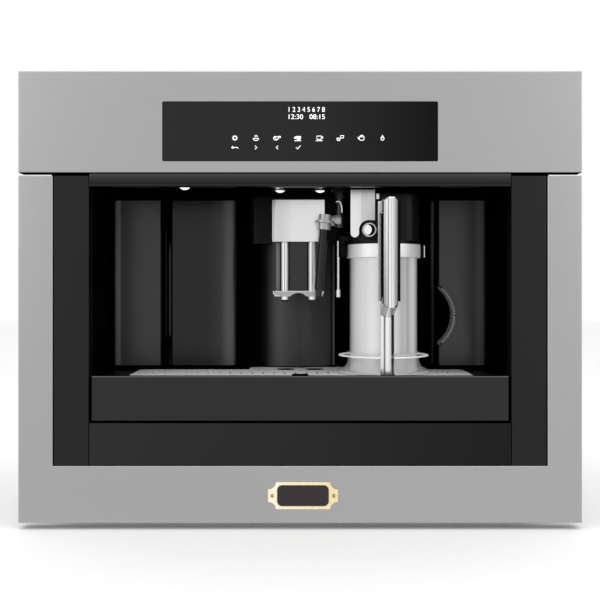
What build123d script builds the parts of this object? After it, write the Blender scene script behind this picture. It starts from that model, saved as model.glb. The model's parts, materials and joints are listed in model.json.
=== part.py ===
from build123d import *
import math
import os

# A built-in coffee machine. +X is the viewer's right, +Y runs back into the cabinet and +Z is up.
# The origin is on the plane of the cabinet's front edge, at the middle of the front's lower edge.
# All sizes are in millimetres.

# Steel front
front_width = 594.0
front_height = 476.0
front_depth = 20.0
fascia_height = 107.0
fascia_gap = 3.2
stile_width = 36.4
sill_height = 60.1
steel = 1.2
steel_edge = 1.5
side_lip = 16.0
foot_lip = 10.0

# Display in the control fascia
display_width = 290.0
display_height = 62.7
display_drop = 63.6
display_corner = 1.5
glass_thickness = 3.0
display_gap = 0.2
board_thickness = 1.6

# Black front pieces
trim_width = 38.0
trim_set_back = 1.0
trim_wall = 2.5
trim_round = 2.0
panel_gap = 0.3
seat_play = 0.05
visor_height = 13.8
visor_drop = 0.8
visor_lip = 11.0
tray_front_height = 46.9
tray_front_gap = 2.6
lower_fascia_height = 44.8

# Name plate
plate_width = 73.6
plate_height = 28.2
plate_thickness = 2.0
plate_tab_height = 13.2
plate_scoop_width = 8.3
plate_field_width = 54.6
plate_field_height = 22.4
plate_field_corner = 5.5
plate_offset = 3.0
plate_z = 29.2

# Cabinet, rails and chassis
front_overlap = 17.0
rail_thickness = 13.0
rail_height = 46.0
rail_length = 350.0
rail_sheet = 1.5
rail_play = 0.3
rail_front = 8.0
rail_z = 100.0
rail_screw_spacing = 224.0
rail_screw_radius = 2.25
chassis_bottom = 14.0
chassis_height = 441.0
chassis_depth = 378.0
sheet = 1.2
fold = 12.0
carrier_thickness = 3.0
carrier_rib_pitch = 150.0
carrier_rib_width = 3.0
vent_width = 4.0
vent_length = 42.0
vent_pitch = 12.0

# Niche
niche_side_inset = 2.6
niche_wall = 2.5
bead_radius = 2.0
niche_ceiling = 363.0
block_face = 100.0
block_depth = 12.0
block_bottom = 156.0
block_height = 195.0
block_side_gap = 0.6
block_wall = 3.0
block_round = 10.0
recess_left = -70.0
recess_right = 159.5
recess_back = 135.0
bay_rear = 345.0
bay_wall = 2.2
slide_gap = 0.3
lamp_radius = 7.8
lamp_drop = 5.0
lamp_rim = 1.2
lamp_places = ((-23.2, 78.0), (23.2, 78.0), (-129.9, 47.0))

# Grounds container, service door and water tank
grounds_right = -165.3
bin_height = 134.0
bin_depth = 178.0
bin_wall = 2.0
door_left = -153.5
door_right = -73.9
hinge_x = -159.4
hinge_y = 104.5
hinge_pin_radius = 1.5
hinge_play = 0.06
knuckle_radius = 4.0
knuckle_length = 14.0
knuckle_inset = 20.0
tank_left = 164.9
tank_depth = 222.0
tank_wall = 2.4
scoop_x = 142.4
scoop_z = 214.7
scoop_radius = 40.1
scoop_depth = 28.0
scoop_bevel = 3.0
tank_lid_thickness = 2.0

# Drip tray
tray_side_inset = 3.8
tray_rear = 97.0
tray_bulge_rear = 128.0
tray_bulge_left = -60.0
tray_bulge_right = 150.0
tray_wall = 2.0
tray_front_side_gap = 2.8
tray_front_wall = 3.5
deck_thickness = 3.2
deck_drop = 4.2
shelf_thickness = 2.3
grid_margin_left = 28.0
grid_margin_right = 26.0
grid_front = 9.0
grid_rear = 93.0
grid_thickness = 1.5
grid_rim = 4.0
grid_corner = 12.0
grid_pitch = 12.3
grid_slot_width = 2.0
grid_slot_length = 26.0
grid_short_slot = 12.0
grid_slot_y = 55.0
grid_short_slot_y = 113.0
grid_border = 12.0
grid_hole_radius = 10.0
grid_hole_spread = 17.0
grid_hole_y = 94.0
float_radius = 7.5
float_stem_radius = 2.3
float_play = 0.3
float_y = 9.0
float_guide_width = 17.0

# Coffee spout
spout_x = -2.0
spout_width = 58.8
spout_front = 35.0
spout_cover_bottom = 299.0
spout_cover_height = 47.0
spout_cover_depth = 42.0
spout_cover_sheet = 1.2
spout_fold_width = 4.4
spout_fold_depth = 3.0
spout_skin = 0.4
tube_radius = 4.0
tube_bore = 2.8
tube_half_pitch = 15.3
tube_tip = 234.5
rim_bottom = 238.0
rim_thickness = 6.0
rim_arch = 4.0
rim_arch_half = 9.0
spout_rail_width = 12.0
spout_rail_head = 24.0
spout_rail_thickness = 5.0
spout_rail_length = 31.0
spout_rail_play = 0.4
spout_rail_recess = 5.0
spout_rail_drop = 3.0
spout_lower_gap = 2.5
spout_lower_corner = 8.0
spout_web_gap = 1.5
spout_web_depth = 3.0
rim_set_back = 2.0
rim_rear_gap = 8.0
rim_corner = 4.0
housing_front = 98.0
housing_left = -61.0
housing_right = 56.0
housing_bottom = 300.0
housing_top = 355.0
housing_corner = 12.0
column_left = -52.0
column_right = 42.0
column_front = 114.0

# Hot water wand
wand_boss_x = 44.0
wand_boss_y = 28.0
wand_boss_radius = 9.0
wand_boss_bottom = 346.0
wand_stub_radius = 3.5
wand_stub_play = 0.08
wand_stub_engage = 10.0
wand_collar_x = 27.6
wand_collar_y = 22.0
wand_collar_top = 328.0
wand_collar_radius = 7.3
wand_collar_length = 16.5
wand_flange_radius = 10.8
wand_flange_thickness = 2.0
wand_lean = 4.7
wand_sleeve_radius = 5.2
wand_sleeve_length = 66.0
wand_tip_radius = 3.4
wand_tip_length = 8.0
wand_joint_radius = 5.5
wand_joint_height = 13.0
wand_joint_drop = 6.0
wand_arm_start = 5.0
wand_arm_end = 3.6

# Milk carafe
carafe_x = 94.0
carafe_y = 50.0
carafe_radius = 37.8
carafe_wall = 2.2
carafe_height = 129.0
foot_radius = 52.0
foot_disc_radius = 50.5
foot_height = 24.0
foot_thickness = 2.5
foot_play = 0.2
foot_collar = 2.2
foot_base = 3.5
foot_flare = 15.0
foot_disc_z = 19.6
foot_disc_edge = 1.0
foot_disc_taper = 0.8
band_radius = 41.7
band_height = 18.2
lid_height = 53.0
lid_half_width = 38.0
lid_front = 13.0
lid_rear = 88.0
lid_corner = 20.0
lid_plug_depth = 10.0
connector_front = 97.0
connector_width = 28.0
connector_height = 24.0
connector_z = 330.0
connector_depth = 8.0
connector_border = 4.0
connector_bore = 4.0
straw_radius = 3.0
straw_bore = 2.0
trim_plate_left = 55.0
trim_plate_right = 81.3
trim_plate_crease = 66.3
trim_plate_top = 354.5
trim_plate_bottom = 302.7
trim_plate_shoulder = 321.3
trim_plate_leg = 9.2
knob_x = 75.0
knob_z = 310.6
knob_radius = 7.6
knob_notch = 10.9
knob_length = 7.0
knob_play = 0.08
knob_shaft_radius = 3.0
handle_width = 15.0
handle_strip_front = 0.0
handle_strip_depth = 8.0
handle_grip_front = -38.0
handle_grip_depth = 14.0
handle_top = 342.0
handle_grip_bottom = 227.0
handle_link_bottom = 215.7
handle_link_height = 13.0
handle_bevel = 3.5
milk_pivot_x = 47.4
milk_pivot_y = 60.0
milk_head_width = 7.6
milk_head_reach = 26.0
milk_head_height = 18.0
milk_head_round = 2.5
milk_pipe_radius = 1.5
milk_pipe_seat = 0.5
milk_pipe_y = 40.0
milk_pipe_length = 62.5
milk_nozzle_radius = 2.8
milk_nozzle_length = 8.0
milk_nozzle_bore = 1.3
milk_lug_radius = 6.0
milk_lug_thickness = 6.0
milk_pin_length = 5.0
milk_pin_radius = 2.0
milk_pin_play = 0.06

# Bean hopper, funnel and grinder
hopper_x = 25.0
hopper_y = 260.0
hopper_size = 140.0
hopper_throat = 25.0
hopper_wall = 2.0
hopper_lip = 7.0
grinder_top = 400.0
grinder_height = 50.0
grinder_radius = 38.0
burr_radius = 22.0
burr_tip_radius = 12.0
burr_height = 26.0
burr_gap = 0.8
burr_flutes = 12
burr_shaft_radius = 4.0
burr_shaft_play = 0.05
motor_radius = 31.0
motor_height = 88.0
funnel_x = -114.0
funnel_y = 230.0
funnel_top_size = 56.0
funnel_throat_size = 36.0
funnel_wall = 2.0
chute_width = 24.0
chute_height = 16.0
chute_drop = 5.5
chute_rise = 20.0
lid_sheet = 2.5
lid_overlap = 4.0
lid_hinge_radius = 2.1
lid_hinge_pin = 1.4
lid_hinge_play = 0.06
lid_ear_thickness = 1.5
grind_knob_x = 122.0
grind_knob_radius = 12.0
grind_knob_height = 3.6
grind_stem_radius = 4.0
grind_stem_play = 0.08
grind_stem_length = 16.0

# Brew unit, pump, heater and electrics
brew_front = 116.0
brew_depth = 165.0
brew_height = 150.0
brew_play = 0.5
brew_cylinder_radius = 27.0
brew_bore = 22.0
brew_piston_play = 0.06
brew_piston_height = 22.0
brew_rod_radius = 5.0
brew_piston_bottom = 205.0
brew_bridge_depth = 28.0
brew_bridge_thickness = 12.0
brew_chamber_floor = 10.0
brew_rod_drop = 30.0
brew_frame_wall = 4.0
brew_frame_base = 8.0
brew_frame_round = 14.0
drive_width = 50.0
drive_depth = 28.0
drive_height = 60.0
pump_x = -180.0
pump_y = 255.0
pump_radius = 22.0
pump_length = 78.0
heater_x = 70.0
heater_y = 225.0
heater_radius = 52.0
heater_thickness = 38.0
heater_ribs = 10
control_board_width = 150.0
control_board_height = 110.0
inlet_x = 190.0
inlet_z = 62.0
inlet_width = 46.0
inlet_height = 62.0
inlet_flange = 3.0
inlet_depth = 24.0
socket_width = 24.5
socket_height = 17.0
rocker_width = 13.0
rocker_height = 20.0
rocker_play = 0.3
rocker_pin_radius = 1.5
rocker_tilt = 8.0

# Places that follow from the sizes above
half_front = front_width / 2
niche_start = panel_gap
frame_top = front_height - fascia_height - fascia_gap
mouth_half = half_front - stile_width
opening_half = mouth_half - trim_width
cabinet_width = front_width - 2 * front_overlap
niche_half_width = opening_half + niche_side_inset
block_outer = opening_half - block_side_gap
tray_front_half = opening_half - tray_front_side_gap
tray_half_width = tray_front_half - tray_side_inset
grid_left = -tray_half_width + grid_margin_left
grid_right = tray_half_width - grid_margin_right
black_face = -front_depth + trim_set_back
fascia_bottom = front_height - fascia_height
display_z = front_height - display_drop
niche_top = fascia_bottom - visor_drop - visor_height
lower_fascia_top = sill_height + lower_fascia_height
tray_front_bottom = lower_fascia_top + tray_front_gap
tray_front_top = tray_front_bottom + tray_front_height
chassis_top = chassis_bottom + chassis_height
chassis_half = cabinet_width / 2 - rail_thickness
panel_inside = chassis_half - sheet
block_top = block_bottom + block_height
block_back = block_face + block_depth
bay_front = block_back + 1.0
bay_floor = block_bottom - slide_gap
bay_bottom = bay_floor - bay_wall
bay_ceiling = block_top + slide_gap + tank_lid_thickness
bay_top = bay_ceiling + bay_wall
niche_outside = niche_half_width + niche_wall
shelf_top = lower_fascia_top + shelf_thickness
deck_top = tray_front_top - deck_drop
grid_top = deck_top + grid_thickness
carafe_bottom = grid_top + slide_gap
carafe_glass_bottom = carafe_bottom + foot_thickness
carafe_rim = carafe_glass_bottom + carafe_height - foot_thickness
lid_bottom = carafe_rim + band_height
lid_top = lid_bottom + lid_height
spout_left = spout_x - spout_width / 2
spout_right = spout_x + spout_width / 2
spout_rear = housing_front - spout_rail_play
spout_cover_top = spout_cover_bottom + spout_cover_height
rim_top = rim_bottom + rim_thickness
grinder_bottom = grinder_top - grinder_height
motor_bottom = grinder_bottom - motor_height
cover_underside = chassis_top - sheet


def front_plane(y):
    """The plane at depth y, seen from the front: its x is X and its y is Z."""
    return Plane.XZ.offset(-y)


def side_plane(x):
    """The plane at x, seen from the right: its x is Y and its y is Z."""
    return Plane.YZ.offset(x)


def block(x, y, z, mode=Mode.ADD):
    """A rectangular block that spans three (low, high) pairs."""
    with Locations(((x[0] + x[1]) / 2, (y[0] + y[1]) / 2, (z[0] + z[1]) / 2)):
        Box(x[1] - x[0], y[1] - y[0], z[1] - z[0], mode=mode)


def rod(plane, radius, length, mode=Mode.ADD):
    """A round rod that starts on a plane and runs along its normal."""
    with BuildSketch(plane) as disc:
        Circle(radius)
    extrude(disc.sketch, amount=length, mode=mode)


def outline(points):
    """A closed straight-sided face in the current sketch."""
    Polygon(*points, align=None)


def span(low, high):
    """The sketch rectangle between two corner points."""
    with Locations(((low[0] + high[0]) / 2, (low[1] + high[1]) / 2)):
        Rectangle(high[0] - low[0], high[1] - low[1])


# ---------------------------------------------------------------- rails


def rail_member(inner_x, outer_x, height, web_outside):
    """A C-shaped rail member on both sides, with its web towards the cabinet or the machine."""
    web_low = outer_x - rail_sheet if web_outside else inner_x
    with BuildSketch(front_plane(rail_front)) as profile:
        span((inner_x, rail_z - height / 2), (outer_x, rail_z + height / 2))
        hollow = height / 2 - rail_sheet
        low = inner_x - 1 if web_outside else web_low + rail_sheet
        high = web_low if web_outside else outer_x + 1
        with Locations(((low + high) / 2, rail_z)):
            Rectangle(high - low, 2 * hollow, mode=Mode.SUBTRACT)
    extrude(profile.sketch, amount=-rail_length)


rail_step = rail_sheet + rail_play
cabinet_web = cabinet_width / 2
middle_web = cabinet_web - rail_step
machine_edge = middle_web - rail_step

with BuildPart() as cabinet_rails:
    rail_member(chassis_half + rail_step, cabinet_web, rail_height, True)
    with BuildSketch(side_plane(cabinet_web)):
        with Locations((rail_front + rail_length / 2, rail_z)):
            with GridLocations(rail_screw_spacing, 1, 2, 1):
                Circle(rail_screw_radius)
    extrude(amount=-rail_sheet, mode=Mode.SUBTRACT)
    mirror(about=Plane.YZ)

with BuildPart() as middle_rails:
    rail_member(chassis_half + rail_step, middle_web, rail_height - 2 * rail_step, True)
    mirror(about=Plane.YZ)

with BuildPart() as machine_rails:
    rail_member(chassis_half, machine_edge, rail_height - 4 * rail_step, False)
    mirror(about=Plane.YZ)


# ---------------------------------------------------------------- chassis


def vent_row(width, height, count, length=vent_length):
    """A row of upright vent slots in the current sketch, centred on (width, height)."""
    with Locations((width, height)):
        with GridLocations(vent_pitch, 1, count, 1):
            SlotOverall(length, vent_width, rotation=90)


with BuildPart() as chassis_base:
    with BuildSketch(front_plane(carrier_thickness)):
        span((-panel_inside, chassis_bottom), (panel_inside, chassis_bottom + fold))
        with Locations((0, chassis_bottom + sheet + fold / 2)):
            Rectangle(2 * (panel_inside - sheet), fold, mode=Mode.SUBTRACT)
    extrude(amount=-(chassis_depth - sheet - carrier_thickness))
    with BuildSketch(Plane.XY.offset(chassis_bottom)):
        vent_row(0, chassis_depth * 0.72, 14)
    extrude(amount=sheet, mode=Mode.SUBTRACT)

with BuildPart() as side_panels:
    with BuildSketch(Plane.XY.offset(chassis_bottom)):
        span((panel_inside, carrier_thickness), (chassis_half, chassis_depth))
        span((chassis_half - fold, chassis_depth - 2 * sheet), (chassis_half, chassis_depth - sheet))
        with Locations((chassis_half - fold / 2, chassis_depth - sheet / 2)):
            Rectangle(fold, sheet, mode=Mode.SUBTRACT)
    extrude(amount=chassis_height - sheet)
    block(
        (panel_inside - fold, panel_inside),
        (chassis_depth - 2 * sheet, chassis_depth - sheet),
        (chassis_bottom, chassis_bottom + fold),
        Mode.SUBTRACT,
    )
    block(
        (chassis_half - fold, chassis_half),
        (carrier_thickness, chassis_depth - sheet),
        (cover_underside - sheet, cover_underside),
    )
    with BuildSketch(side_plane(panel_inside)):
        vent_row(chassis_depth * 0.6, chassis_top - 60, 9)
    extrude(amount=sheet, mode=Mode.SUBTRACT)
    mirror(about=Plane.YZ)

with BuildPart() as rear_panel:
    with BuildSketch(front_plane(chassis_depth)):
        span((-panel_inside, chassis_bottom), (panel_inside, cover_underside))
    extrude(amount=sheet)
    with BuildSketch(front_plane(chassis_depth)):
        for row in (0, 1):
            for side in (-1, 1):
                vent_row(side * 110, chassis_top - 60 - row * 1.3 * vent_length, 12)
        with Locations((inlet_x, inlet_z + inlet_height / 2)):
            Rectangle(inlet_width - 8, inlet_height - 8)
    extrude(amount=sheet, mode=Mode.SUBTRACT)


def lid_hinge_y(centre_y, size):
    """The hinge line of a lid that covers an opening of this size."""
    return centre_y + size / 2 + lid_overlap + lid_hinge_radius


def lid_ears(centre_x, centre_y, size):
    """Two ears bent up from the top cover, with a bore for the lid's pins."""
    hinge_z = chassis_top + lid_hinge_radius + panel_gap
    for side in (-1, 1):
        ear_x = centre_x + side * (size / 2 - 6) - lid_ear_thickness / 2
        plane = Plane(origin=(ear_x, lid_hinge_y(centre_y, size), hinge_z), z_dir=(1, 0, 0))
        rod(plane, lid_hinge_radius, lid_ear_thickness)
        block(
            (ear_x, ear_x + lid_ear_thickness),
            (plane.origin.Y - lid_hinge_radius, plane.origin.Y + lid_hinge_radius),
            (chassis_top, hinge_z),
        )
        rod(plane, lid_hinge_pin + lid_hinge_play, lid_ear_thickness, Mode.SUBTRACT)


with BuildPart() as top_cover:
    with BuildSketch(Plane.XY.offset(cover_underside)):
        span((-chassis_half, carrier_thickness), (chassis_half, chassis_depth))
    extrude(amount=sheet)
    with BuildSketch(Plane.XY.offset(cover_underside)):
        with Locations((hopper_x, hopper_y)):
            RectangleRounded(hopper_size, hopper_size, 8)
        with Locations((funnel_x, funnel_y)):
            RectangleRounded(funnel_top_size, funnel_top_size, 6)
        with Locations((grind_knob_x, hopper_y)):
            Circle(grind_stem_radius + grind_stem_play)
        vent_row(hopper_x, 110, 12)
    extrude(amount=sheet, mode=Mode.SUBTRACT)
    lid_ears(hopper_x, hopper_y, hopper_size)
    lid_ears(funnel_x, funnel_y, funnel_top_size)

# The moulded carrier joins the steel front to the chassis, with bosses inside the hollow stiles.
boss_inner = mouth_half + steel + 1.0
boss_outer = half_front - steel - 1.0
with BuildPart() as front_carrier:
    with BuildSketch(front_plane(carrier_thickness)):
        span((-chassis_half, chassis_bottom), (chassis_half, chassis_top))
        with Locations((0, (lower_fascia_top + frame_top) / 2)):
            Rectangle(2 * niche_outside + 1, frame_top - lower_fascia_top + 1, mode=Mode.SUBTRACT)
        with Locations((0, display_z)):
            RectangleRounded(display_width + 20, display_height + 8, 5, mode=Mode.SUBTRACT)
    extrude(amount=carrier_thickness)
    for boss_z in (sill_height + 40, (sill_height + frame_top) / 2, frame_top - 40):
        block((boss_inner, chassis_half), (-front_depth + steel, 0), (boss_z, boss_z + 14))
        block((-chassis_half, -boss_inner), (-front_depth + steel, 0), (boss_z, boss_z + 14))
    for rib_x in (-carrier_rib_pitch, 0, carrier_rib_pitch):
        block(
            (rib_x - carrier_rib_width / 2, rib_x + carrier_rib_width / 2),
            (black_face + trim_wall + 0.5, 0),
            (sill_height + trim_wall + 1, lower_fascia_top - trim_wall - 1),
        )


# ---------------------------------------------------------------- steel front


def frame_outline(outer, foot, top, inner):
    """The front frame's U, with each side drawn in by its own amount."""
    left, right = -half_front + outer, half_front - outer
    left_mouth, right_mouth = -mouth_half - inner, mouth_half + inner
    height = frame_top - top
    sill = sill_height - inner
    outline(
        (
            (left, height),
            (left, foot),
            (right, foot),
            (right, height),
            (right_mouth, height),
            (right_mouth, sill),
            (left_mouth, sill),
            (left_mouth, height),
        )
    )


with BuildPart() as front_frame:
    with BuildSketch(front_plane(0)):
        frame_outline(0, 0, 0, 0)
    extrude(amount=front_depth)
    fillet(front_frame.faces().sort_by(Axis.Y)[0].edges(), steel_edge)
    with BuildSketch(front_plane(-steel)):
        frame_outline(steel, steel, steel, steel)
    extrude(amount=front_depth - 2 * steel, mode=Mode.SUBTRACT)
    with BuildSketch(front_plane(0)):
        frame_outline(side_lip, foot_lip, steel, steel)
    extrude(amount=steel, mode=Mode.SUBTRACT)
    # only the lips reach the cabinet's edge: the walls round the mouth end short of it
    block(
        (-half_front + side_lip, half_front - side_lip),
        (-panel_gap, 0),
        (foot_lip, frame_top),
        Mode.SUBTRACT,
    )

with BuildPart() as control_fascia:
    with BuildSketch(front_plane(0)):
        span((-half_front, fascia_bottom), (half_front, front_height))
    extrude(amount=front_depth)
    fillet(control_fascia.faces().sort_by(Axis.Y)[0].edges(), steel_edge)
    with BuildSketch(front_plane(-steel)):
        span((-half_front + steel, fascia_bottom + steel), (half_front - steel, front_height - steel))
    extrude(amount=front_depth - 2 * steel, mode=Mode.SUBTRACT)
    with BuildSketch(front_plane(0)):
        span((-half_front + side_lip, fascia_bottom + steel), (half_front - side_lip, front_height - foot_lip))
    extrude(amount=steel, mode=Mode.SUBTRACT)
    with BuildSketch(front_plane(-front_depth)):
        with Locations((0, display_z)):
            RectangleRounded(
                display_width + 2 * display_gap, display_height + 2 * display_gap, display_corner + display_gap
            )
    extrude(amount=-steel, mode=Mode.SUBTRACT)

with BuildPart() as display_glass:
    with BuildSketch(front_plane(-front_depth)):
        with Locations((0, display_z)):
            RectangleRounded(display_width, display_height, display_corner)
    extrude(amount=-glass_thickness)

module_depth = 4.0
board_front = -front_depth + glass_thickness + module_depth
board_plane = front_plane(board_front)
control_board_x = -120.0
control_board_z = 312.0
with BuildPart() as circuit_boards:
    with BuildSketch(board_plane):
        with Locations((0, display_z)):
            RectangleRounded(display_width - 4, display_height - 4, 2)
    extrude(amount=-board_thickness)
    with BuildSketch(board_plane):
        with Locations((display_width * 0.05, display_z + display_height * 0.32)):
            Rectangle(display_width * 0.3, display_height * 0.3)
        with Locations((0, display_z - display_height * 0.15)):
            with GridLocations(display_width * 0.076, 1, 8, 1):
                Circle(4)
    extrude(amount=module_depth)
    # main board on four posts at the rear panel
    post_length = 8.0
    main_face = chassis_depth - sheet - post_length
    with BuildSketch(front_plane(main_face)):
        with Locations((control_board_x, control_board_z)):
            RectangleRounded(control_board_width, control_board_height, 3)
    extrude(amount=board_thickness)
    with BuildSketch(front_plane(main_face)):
        with Locations((control_board_x, control_board_z)):
            with GridLocations(control_board_width - 14, control_board_height - 14, 2, 2):
                Circle(3)
    extrude(amount=-post_length)
    with BuildSketch(front_plane(main_face - board_thickness)):
        with Locations((control_board_x, control_board_z)):
            with GridLocations(control_board_width / 4, control_board_height / 2, 3, 2):
                Rectangle(20, 26)
    extrude(amount=12)

with BuildPart() as name_plate:
    plate_plane = Plane(origin=(plate_offset, -front_depth, plate_z), x_dir=(1, 0, 0), z_dir=(0, -1, 0))
    half_w, half_h = plate_width / 2, plate_height / 2
    tab = plate_tab_height / 2
    shoulder = half_w - plate_scoop_width
    with BuildSketch(plate_plane):
        with BuildLine():
            inward = math.sqrt(0.5)
            bow = (half_w - plate_scoop_width * inward, half_h - (half_h - tab) * inward)
            Line((-shoulder, half_h), (shoulder, half_h))
            for x_sign, z_sign in ((1, 1), (1, -1), (-1, -1), (-1, 1)):
                ThreePointArc(
                    (x_sign * shoulder, z_sign * half_h),
                    (x_sign * bow[0], z_sign * bow[1]),
                    (x_sign * half_w, z_sign * tab),
                )
            Line((half_w, tab), (half_w, -tab))
            Line((shoulder, -half_h), (-shoulder, -half_h))
            Line((-half_w, -tab), (-half_w, tab))
        make_face()
    extrude(amount=plate_thickness)
    with BuildSketch(plate_plane.offset(plate_thickness)):
        RectangleRounded(plate_field_width, plate_field_height, plate_field_corner)
    extrude(amount=-plate_thickness / 3, mode=Mode.SUBTRACT)


# ---------------------------------------------------------------- black front pieces

with BuildPart() as side_trims:
    trim_low, trim_high = opening_half, mouth_half - panel_gap
    with BuildSketch(Plane.XY.offset(sill_height + panel_gap)):
        span((trim_low, black_face), (trim_high, 0))
        with Locations(((trim_low + trim_high) / 2, (black_face + trim_wall) / 2 + 1)):
            Rectangle(trim_width - panel_gap - 2 * trim_wall, -black_face - trim_wall + 2, mode=Mode.SUBTRACT)
        fillet(vertices().group_by(Axis.Y)[0], trim_round)
    extrude(amount=frame_top - sill_height - panel_gap)
    mirror(about=Plane.YZ)

with BuildPart() as visor:
    visor_bottom = niche_top
    visor_top = niche_top + visor_height
    with BuildSketch(side_plane(-opening_half + panel_gap)):
        outline(
            (
                (black_face, visor_bottom),
                (black_face + visor_lip, visor_bottom),
                (black_face + visor_lip, visor_bottom + trim_wall),
                (black_face + trim_wall, visor_bottom + trim_wall),
                (black_face + trim_wall, visor_top - trim_wall),
                (0, visor_top - trim_wall),
                (0, visor_top),
                (black_face, visor_top),
            )
        )
    extrude(amount=2 * (opening_half - panel_gap))
    fillet(visor.edges().filter_by(Axis.X).group_by(Axis.Y)[0], 1.0)

with BuildPart() as lower_fascia:
    with BuildSketch(side_plane(-opening_half + panel_gap)):
        span((black_face, sill_height + panel_gap), (0, lower_fascia_top))
        with Locations((black_face / 2 + trim_wall, (sill_height + panel_gap + lower_fascia_top) / 2)):
            Rectangle(
                -black_face, lower_fascia_height - panel_gap - 2 * trim_wall, mode=Mode.SUBTRACT
            )
    extrude(amount=2 * (opening_half - panel_gap))
    fillet(lower_fascia.edges().filter_by(Axis.X).group_by(Axis.Y)[0], 1.0)


# ---------------------------------------------------------------- niche

with BuildPart() as niche_liner:
    liner_top = niche_ceiling + niche_wall
    with BuildSketch(front_plane(niche_start)):
        span((-niche_outside, shelf_top), (niche_outside, liner_top))
        with Locations((0, (shelf_top + niche_ceiling) / 2 - 1)):
            Rectangle(2 * niche_half_width, niche_ceiling - shelf_top + 2, mode=Mode.SUBTRACT)
    extrude(amount=-(block_face - niche_start))
    # side walls go on past the block faces, and the ceiling on over the recess
    for wall_x in (-niche_outside, niche_half_width):
        block((wall_x, wall_x + niche_wall), (block_face, bay_front), (shelf_top, niche_ceiling))
    block((-niche_outside, niche_outside), (block_face, bay_front), (niche_ceiling, liner_top))
    block(
        (recess_left - niche_wall, recess_right + niche_wall),
        (bay_front, recess_back + niche_wall),
        (niche_ceiling, liner_top),
    )
    # lintels over the containers
    for low, high in ((-niche_half_width, recess_left - niche_wall), (recess_right + niche_wall, niche_half_width)):
        block((low, high), (block_face, block_face + niche_wall), (bay_top, niche_ceiling))
    with BuildSketch(Plane.XY.offset(niche_ceiling)):
        with Locations(*lamp_places):
            Circle(lamp_radius)
    extrude(amount=niche_wall, mode=Mode.SUBTRACT)

with BuildPart() as recess_wall:
    with BuildSketch(Plane.XY.offset(bay_bottom)):
        span((recess_left - niche_wall, block_face), (recess_right + niche_wall, recess_back + niche_wall))
        with Locations(((recess_left + recess_right) / 2, (block_face + recess_back) / 2 - 1)):
            Rectangle(recess_right - recess_left, recess_back - block_face + 2, mode=Mode.SUBTRACT)
        with Locations((recess_right + niche_wall - bead_radius, block_face)):
            Circle(bead_radius)
    extrude(amount=niche_ceiling - bay_bottom)
    # a round opening beside the tank's grip scoop
    rod(Plane(origin=(scoop_x, block_face - 4, scoop_z), z_dir=(0, 1, 0)), scoop_radius, scoop_depth, Mode.SUBTRACT)


def bay_shell(left, right):
    """An open-fronted bay for containers, between its two outer faces."""
    block((left, right), (bay_front, bay_rear), (bay_bottom, bay_top))
    block(
        (left + bay_wall, right - bay_wall),
        (bay_front - 1, bay_rear - bay_wall),
        (bay_floor, bay_ceiling),
        Mode.SUBTRACT,
    )


partition_x = (grounds_right + door_left) / 2
chute_window_z = block_bottom + bin_height + 6
with BuildPart() as left_bay:
    bay_shell(-niche_half_width, recess_left - niche_wall)
    block(
        (partition_x - bay_wall / 2, partition_x + bay_wall / 2),
        (bay_front, bay_rear - bay_wall),
        (bay_floor, bay_ceiling),
    )
    # window through which the spent pucks drop into the container
    with BuildSketch(side_plane(partition_x - bay_wall)):
        with Locations((funnel_y, chute_window_z + 22)):
            RectangleRounded(60, 44, 5)
    extrude(amount=2 * bay_wall, mode=Mode.SUBTRACT)
    # inlet for ground coffee above the brew unit
    with BuildSketch(Plane.XY.offset(bay_ceiling)):
        with Locations((funnel_x, funnel_y)):
            Rectangle(funnel_throat_size - 2 * funnel_wall, funnel_throat_size - 2 * funnel_wall)
    extrude(amount=bay_wall, mode=Mode.SUBTRACT)
    # lugs that hold the door's hinge pin
    for lug_z in (
        block_bottom + knuckle_inset - knuckle_length - panel_gap,
        block_top - knuckle_inset + panel_gap,
    ):
        rod(Plane.XY.offset(lug_z).shift_origin((hinge_x, hinge_y, lug_z)), knuckle_radius, knuckle_length)
        block((hinge_x - knuckle_radius, hinge_x + 1), (hinge_y, bay_front + 1), (lug_z, lug_z + knuckle_length))
        rod(
            Plane.XY.offset(lug_z).shift_origin((hinge_x, hinge_y, lug_z)),
            hinge_pin_radius,
            knuckle_length,
            Mode.SUBTRACT,
        )

with BuildPart() as tank_bay:
    bay_shell(tank_left - 0.5 - bay_wall, niche_half_width)
    # socket that the tank's valve plugs into
    rod(
        Plane(origin=((tank_left + block_outer) / 2, bay_rear - bay_wall, block_bottom + 20), z_dir=(0, -1, 0)),
        9,
        bay_rear - bay_wall - block_face - tank_depth - slide_gap,
    )

with BuildPart() as tray_shelf:
    with BuildSketch(Plane.XY.offset(lower_fascia_top)):
        span((-niche_outside, niche_start), (niche_outside, bay_front))
        span((recess_left - niche_wall, bay_front), (recess_right + niche_wall, recess_back + niche_wall))
    extrude(amount=shelf_thickness)
    # the skirt below the containers and the recess
    skirt_front = block_face - niche_wall
    with BuildSketch(Plane.XY.offset(shelf_top)):
        span((-niche_half_width, skirt_front), (recess_left - niche_wall, block_face))
        span((recess_right + niche_wall, skirt_front), (niche_half_width, block_face))
        span((recess_left - niche_wall, skirt_front), (recess_left, recess_back + niche_wall))
        span((recess_right, skirt_front), (recess_right + niche_wall, recess_back + niche_wall))
        span((recess_left, recess_back), (recess_right, recess_back + niche_wall))
    extrude(amount=bay_bottom - shelf_top)
    # ledges that carry the bays
    for low, high in ((-niche_half_width, recess_left - niche_wall), (recess_right + niche_wall, niche_half_width)):
        block((low, high), (block_face, bay_rear), (bay_bottom - niche_wall, bay_bottom))

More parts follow.
